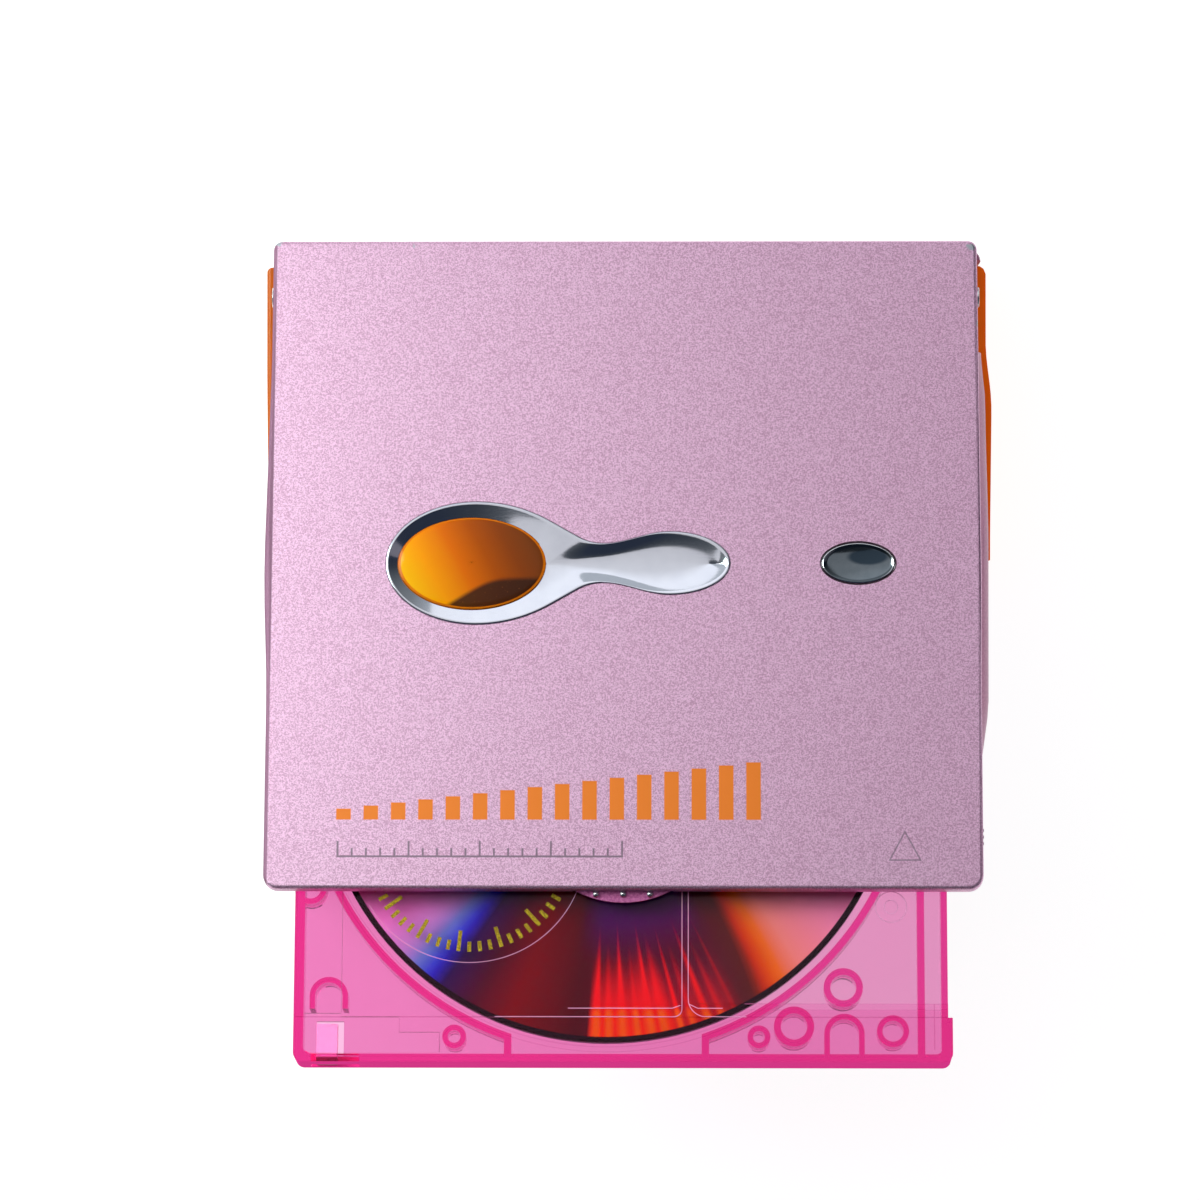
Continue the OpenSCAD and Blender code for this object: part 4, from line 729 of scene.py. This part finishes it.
def frosted_recipe(p):
    fine = p.noise(5.0, 2.0)
    # The faint emission is a painted glow of these faces.
    return {"Base Color": mix(tone(232, 60, 150), tone(244, 74, 164), fine),
            "Emission Color": tone(244, 56, 140), "Emission Strength": 0.3, "Roughness": 0.4,
            "Specular IOR Level": 0.0, "Normal": p.bump(fine, 0.1, 0.00003)}


PINK_DEPTH = ((0.985, 0.15, 0.71), 700.0)
clear_pink = finish("clear_pink", pink_recipe, "lid", density=PINK_DEPTH, shade=(1.0, 0.97, 0.985))
frosted_pink_painted_glow = finish("frosted_pink_painted_glow", frosted_recipe, "lid", density=PINK_DEPTH,
                      shade=(1.0, 0.6, 0.8))


# %% Both halves
CART_FRONT, SILL_Z = -55.6, 10.7


def front_faces(mesh):
    """Which faces look forwards in the level lid's frame and lie on the cartridge's front, and which
    look up from the sill of the small window in its front wall. A normal's level parts are
    z = ny sin a + nz cos a and y = ny cos a - nz sin a."""
    n = len(mesh.polygons)
    normal, centre = np.zeros(n * 3), np.zeros(n * 3)
    mesh.polygons.foreach_get("normal", normal)
    mesh.polygons.foreach_get("center", centre)
    normal, level = normal.reshape(-1, 3), turned(centre.reshape(-1, 3) / MM, -OPEN)
    c, s = math.cos(OPEN), math.sin(OPEN)
    looks_up = s * normal[:, 1] + c * normal[:, 2] > 0.5
    looks_ahead = s * normal[:, 2] - c * normal[:, 1] > 0.5
    # The sill takes the solid pink too, which stands for the shade inside the window: painted shade.
    sill = looks_up & (level[:, 1] < CART_FRONT + 1.1) & (abs(level[:, 2] - SILL_Z) < 0.15)
    return sill | looks_ahead & (level[:, 1] < CART_FRONT + 0.6)


for half in ("cartridge_top", "cartridge_bottom"):
    piece = copied(half, clear_pink, edge=0.07, sharp=35)
    piece.data.materials.append(frosted_pink_painted_glow)
    picked = front_faces(piece.data)
    piece.data.polygons.foreach_set("material_index", picked.astype(np.int32))
    print(half, "front faces:", int(picked.sum()))


# %% [markdown]
# ## Film label
# A clear round label and a clear panel lie on the cartridge. Their cut edges are the bright hairlines
# that cross the disc, and the darker lines beside them stand for shallow steps of the face. Each is a
# flat ribbon along a path, carried as four corners per point. The round label's print is a plain gold
# dial of short strokes.


# %% Ribbons along a path
FILM, FILM_THICK = 14.8, 0.02


def ribbon(path, width):
    """A flat ribbon on the cartridge's face: every point of the path gives four corners, left and
    right by width / 2 along the path's normal, below and above. Neighbours are joined and both ends
    closed."""
    low, high = FILM, FILM + FILM_THICK
    path = np.array(path, float)
    ahead = np.gradient(path, axis=0)
    ahead /= np.linalg.norm(ahead, axis=1)[:, None]
    side = np.stack([-ahead[:, 1], ahead[:, 0]], 1) * width / 2
    corners = [np.column_stack([path + k * side, np.full(len(path), z)])
               for k, z in ((1, low), (-1, low), (-1, high), (1, high))]
    points = np.stack(corners, 1).reshape(-1, 3)
    i, k = np.meshgrid(np.arange(len(path) - 1) * 4, np.arange(4), indexing="ij")
    quads = np.stack([i + k, i + (k + 1) % 4, i + 4 + (k + 1) % 4, i + 4 + k], -1).reshape(-1, 4)
    last = len(points) - 4
    return points, np.concatenate([quads, [[0, 1, 2, 3], [last, last + 1, last + 2, last + 3]]])


def joined(parts):
    """Several (points, faces) as one pair: the faces of each are shifted by the points before it."""
    shift = np.cumsum([0] + [len(points) for points, _ in parts[:-1]])
    return (np.concatenate([points for points, _ in parts]),
            np.concatenate([faces + k for (_, faces), k in zip(parts, shift)]))


def arc(cx, cy, radius, start, stop, steps=48):
    """Points of an arc: centre + radius (cos t, sin t)."""
    t = np.radians(np.linspace(start, stop, steps))
    return np.stack([cx + radius * np.cos(t), cy + radius * np.sin(t)], 1)


LABEL = (-16.84, -32.0)
panel_left = np.concatenate([[[-14.0, -50.66], [5.4, -50.66]], arc(5.6, -49.8, 0.86, -90, 0, 9),
                             [[6.46, -30.0]]])
panel_right = np.concatenate([[[7.14, -30.0], [7.14, -48.6]],
                              arc(9.1, -48.7, 1.95, 180, 262, 13), [[13.5, -50.66]]])
inner_left = [[-6.0, -49.72], [5.4, -49.72], [6.3, -49.4]]
inner_right = [[7.3, -49.3], [8.2, -49.72], [10.9, -49.72]]
edges = [ribbon(line, 0.085) for line in (panel_left, panel_right, inner_left, inner_right)]
edges += [ribbon(arc(29.35, -38.5, r, 0, 360, 49), 0.06) for r in (0.75, 1.7)]
edges.append(ribbon(arc(*LABEL, 12.7, -150, -20), 0.07))
step_lines = [ribbon([[-34.9, -50.33], [-30.8, -50.33], [-30.8, -50.72], [-24.4, -50.72],
                      [-24.4, -52.4], [-20.0, -52.4], [-20.0, -54.6]], 0.08),
              ribbon([[-30.76, -50.2], [-30.76, -30.0]], 0.05)]


def film_recipe(p):
    fine = p.noise(1.5, 2.0)
    return {"Base Color": mix(tone(236, 146, 200), tone(250, 184, 224), fine), "Roughness": 0.25}


def step_recipe(p):
    fine = p.noise(1.5, 2.0)
    return {"Base Color": mix(tone(178, 84, 128), tone(198, 104, 146), fine), "Roughness": 0.4}


surface("film_edges", *joined(edges), finish("film_edge", film_recipe, "lid"), "cartridge",
        "pink_clear")
surface("film_steps", *joined(step_lines), finish("film_step", step_recipe, "lid"), "cartridge",
        "pink_clear")


# %% The dial of short gold strokes
def stroke(angle, inner, outer):
    """A radial stroke of the dial from one radius to another."""
    ray = np.array([math.cos(math.radians(angle)), math.sin(math.radians(angle))])
    return [LABEL + ray * inner, LABEL + ray * (inner + outer) / 2, LABEL + ray * outer]


def print_recipe(p):
    speck = p.noise(7.0, 2.0)
    return {"Base Color": mix(tone(120, 92, 10), tone(226, 196, 40), speck.step(0.3, 0.75)),
            "Metallic": 0.6, "Roughness": 0.35, "Normal": p.bump(speck, 0.3, 0.00003)}


strokes = [ribbon(stroke(a, 10.4 if a % 24 else 9.2, 11.5), 0.42) for a in range(0, 360, 6)]
surface("label_dial", *joined(strokes), finish("gold_print", print_recipe, "lid"), "cartridge",
        "contact_metal")


# %% [markdown]
# ## Disc
# A magneto-optical disc splits light into colours that run out from the hub as sectors and mirrors its
# surroundings. Both are painted here: the colour is a ramp over the angle round the hub, a painted
# reflection with painted rainbow colours. The red sector has fine streaks that grow towards the edge,
# the sectors on the right lean a little, and the rim is black. All of it is worked out from the disc's
# own polar coordinates.


# %% Rainbow surface of the disc
# Each sector's painted colour with its angle in degrees, counted from the right-hand side
SECTORS = [(-180, (0.98, 0.46, 0.50)), (-156, (1.0, 0.5, 0.80)), (-143, (0.95, 0.66, 0.98)),
           (-136, (0.6, 0.78, 1.0)), (-132, (0.13, 0.66, 1.0)), (-128.7, (0.02, 0.07, 1.0)),
           (-125.5, (0.02, 0.006, 0.12)), (-118, (0.08, 0.002, 0.022)),
           (-110, (0.21, 0.003, 0.004)), (-97, (0.08, 0.002, 0.006)), (-68, (0.10, 0.002, 0.03)),
           (-58.3, (0.10, 0.022, 0.008)), (-55.8, (0.75, 0.07, 0.0)), (-52.2, (0.95, 0.33, 0.0)),
           (-48, (1.0, 0.56, 0.30)), (-36, (1.0, 0.58, 0.64)), (-10, (0.8, 0.3, 0.75)),
           (20, (0.10, 0.12, 0.7)), (50, (0.06, 0.5, 0.55)), (80, (0.12, 0.6, 0.2)),
           (110, (0.75, 0.7, 0.12)), (135, (0.9, 0.3, 0.1)), (160, (0.92, 0.35, 0.3))]
STREAK_START, STREAK_PERIOD = -92.5, 2.9


def disc_recipe(p):
    u, v, radius = on_disc(p)
    angle = u.math("ARCTAN2", v, u) * (180 / math.pi)
    lean = (31.0 - radius).most(0.0) * 0.4 * angle.step(-85, -60)
    sectors = p.make("ShaderNodeValToRGB", {0: (angle - lean + 180) / 360},
                     stops=[((degrees + 180) / 360, colour) for degrees, colour in SECTORS])
    drift = p.make("ShaderNodeTexNoise", {"W": angle * 0.3, "Scale": 1.0, "Detail": 1.0},
                   noise_dimensions="1D")
    phase = (angle - STREAK_START + 1.4 * (drift - 0.5)) * (2 * math.pi / STREAK_PERIOD)
    sharp, tall = [(u.math("COSINE", wave) + 1) * 0.5 for wave in (phase, phase * 0.5)]
    band = angle.step(-94.2, -92.6) * (1 - angle.step(-67, -61))
    reach = radius.step(14.5, 30.5) * (1 - 0.26 * angle.step(-78, -74)) + 0.25 * (drift - 0.5)
    hot = band * (reach + (0.12 + 0.24 * tall) * sharp * sharp - 0.12).step(0.3, 0.95) ** 1.3
    colour = mix(sectors, (1.0, 0.015, 0.012), hot)
    flame = mix((1.0, 0.07, 0.0), (1.0, 0.36, 0.0), sharp)
    colour = mix(colour, flame, hot * (-v).step(27.8, 28.9))
    blue = angle.step(-100, -90) * (1 - angle.step(-66, -58)) * (1 - radius.step(16.0, 24.0))
    colour = mix(colour, (0.05, 0.01, 0.30), blue * 0.6)
    colour = mix(colour, (0.006, 0.002, 0.004), radius.step(31.3, 31.42))
    return {"Base Color": colour, "Metallic": 0.15, "Roughness": 0.32, "Coat Weight": 0.08,
            "Coat Roughness": 0.05, "Specular IOR Level": 0.06}


copied("disc", finish("rainbow_disc", disc_recipe, "lid"), edge=0.0)


# %% [markdown]
# ## Steel, screws and the inside
# Springs, rods, pins and screws are plated steel. The holder and the shutter are satin sheet with a
# fine rolling grain along one direction. The frame is a bare light-metal casting, and the board,
# chips, rubber, battery and contacts get finishes of their own, because they show when the lid or the
# battery door is open.


# %% Metals
def satin_recipe(p):
    rolled = p.make("ShaderNodeMapping", {"Vector": p, "Scale": (0.15, 6.0, 6.0)}).noise(1.2, 3.0)
    return {"Base Color": mix((0.55, 0.56, 0.58), (0.66, 0.67, 0.69), rolled), "Metallic": 1.0,
            "Roughness": 0.26 + 0.14 * rolled, "Normal": p.bump(rolled, 0.08, 0.00003)}


def plated_recipe(p):
    haze = p.noise(1.5, 3.0)
    return {"Base Color": mix((0.70, 0.71, 0.73), (0.80, 0.81, 0.83), haze), "Metallic": 1.0,
            "Roughness": 0.14 + 0.1 * haze}


def cast_recipe(p):
    grain = p.noise(1.8, 4.0, 0.65)
    return {"Base Color": mix((0.24, 0.23, 0.25), (0.36, 0.34, 0.37), grain), "Metallic": 0.8,
            "Roughness": 0.5 + 0.1 * grain, "Normal": p.bump(grain, 0.25, 0.00005)}


def gold_recipe(p):
    haze = p.noise(1.0, 2.0)
    return {"Base Color": mix((0.62, 0.44, 0.16), (0.74, 0.56, 0.24), haze), "Metallic": 1.0,
            "Roughness": 0.25}


satin = finish("satin_steel", satin_recipe, "lid")
plated = finish("plated_steel", plated_recipe)
copied("cartridge_holder", satin, edge=0.03)
copied("cartridge_shutter", satin, edge=0.04)
copied("mid_frame", finish("bare_casting", cast_recipe), edge=0.08)
copied("hinge_pins", plated, edge=0.06)
copied("tab_studs", plated, edge=0.02)
coated(["lid_springs", "case_screws", "guide_rods", "lead_screw", "lid_screws", "turntable",
        "disc_hub", "spindle_motor", "sled_motor"], plated)
coated(["mech_chassis"], finish("chassis_steel", satin_recipe))
coated(["battery_contacts", "key_domes"], finish("gold_contact", gold_recipe))


# %% Board, mouldings, rubber, battery and lens
def tracks(p, scale, reach):
    """1 on the lines halfway between scattered points, as tracks of a board, and 0 off them."""
    gap = p.make("ShaderNodeTexVoronoi", {"Vector": p, "Scale": scale}, feature="DISTANCE_TO_EDGE")
    return 1 - gap.step(0.03, reach)


def board_recipe(p):
    pad = p.make("ShaderNodeTexVoronoi", {"Vector": p, "Scale": 0.8}).step(0.12, 0.16)
    colour = mix((0.012, 0.10, 0.05), (0.03, 0.19, 0.10), tracks(p, 0.45, 0.06))
    return {"Base Color": mix((0.62, 0.60, 0.52), colour, pad), "Roughness": 0.32,
            "Coat Weight": 0.3}


def blue_board_recipe(p):
    return {"Base Color": mix((0.01, 0.06, 0.16), (0.03, 0.14, 0.32), tracks(p, 0.4, 0.07)),
            "Roughness": 0.4}


def black_recipe(p):
    grain = p.noise(3.5, 2.0)
    return {"Base Color": mix((0.012, 0.012, 0.014), (0.03, 0.03, 0.034), grain),
            "Roughness": 0.42 + 0.1 * grain, "Normal": p.bump(grain, 0.15, 0.00003)}


def sled_recipe(p):
    grain = p.noise(2.5, 3.0)
    return {"Base Color": mix((0.05, 0.055, 0.065), (0.09, 0.10, 0.11), grain), "Roughness": 0.5,
            "Metallic": 0.3, "Normal": p.bump(grain, 0.2, 0.00004)}


def battery_recipe(p):
    fine, stripe = p.noise(2.0, 3.0), abs(p.parts()[0] - 4).step(26.0, 26.3)
    wrap = mix((0.42, 0.43, 0.46), (0.50, 0.51, 0.54), fine)
    return {"Base Color": mix(wrap, (0.62, 0.62, 0.64), stripe), "Metallic": 0.7,
            "Roughness": 0.36 + 0.1 * fine}


def glass_recipe(p):
    haze = p.noise(0.8, 2.0)
    return {"Base Color": mix((0.16, 0.30, 0.62), (0.30, 0.48, 0.82), haze), "Roughness": 0.04,
            "Coat Weight": 1.0, "Metallic": 0.2}


def tab_slider_recipe(p):
    grain, front = p.noise(2.0, 2.0), (-p.parts()[1]).step(54.7, 54.9)
    # Painted glow: the slider emits a pale light. Its front face, down in the cartridge's window, is
    # painted darker with no glow: painted shade.
    pale = mix(tone(244, 206, 228), tone(252, 226, 240), grain)
    painted_light = mix((1.0, 0.86, 0.93), (0.0, 0.0, 0.0), front)
    return {"Base Color": mix(pale, tone(150, 60, 100), front), "Roughness": 0.5,
            "Emission Color": painted_light, "Emission Strength": 0.4}


coated(["main_board"], finish("green_board", board_recipe))
coated(["key_board"], finish("blue_board", blue_board_recipe, "lid"))
coated(["board_parts", "headphone_jack"], finish("black_moulding", black_recipe))
coated(["chassis_dampers"], finish("soft_rubber", black_recipe))
coated(["pickup_sled"], finish("sled_casting", sled_recipe))
coated(["battery"], finish("battery_wrap", battery_recipe))
coated(["objective_lens"], finish("coated_lens", glass_recipe))
copied("write_protect_tab", finish("frosted_slider_painted_glow", tab_slider_recipe, "lid"), edge=0.04)
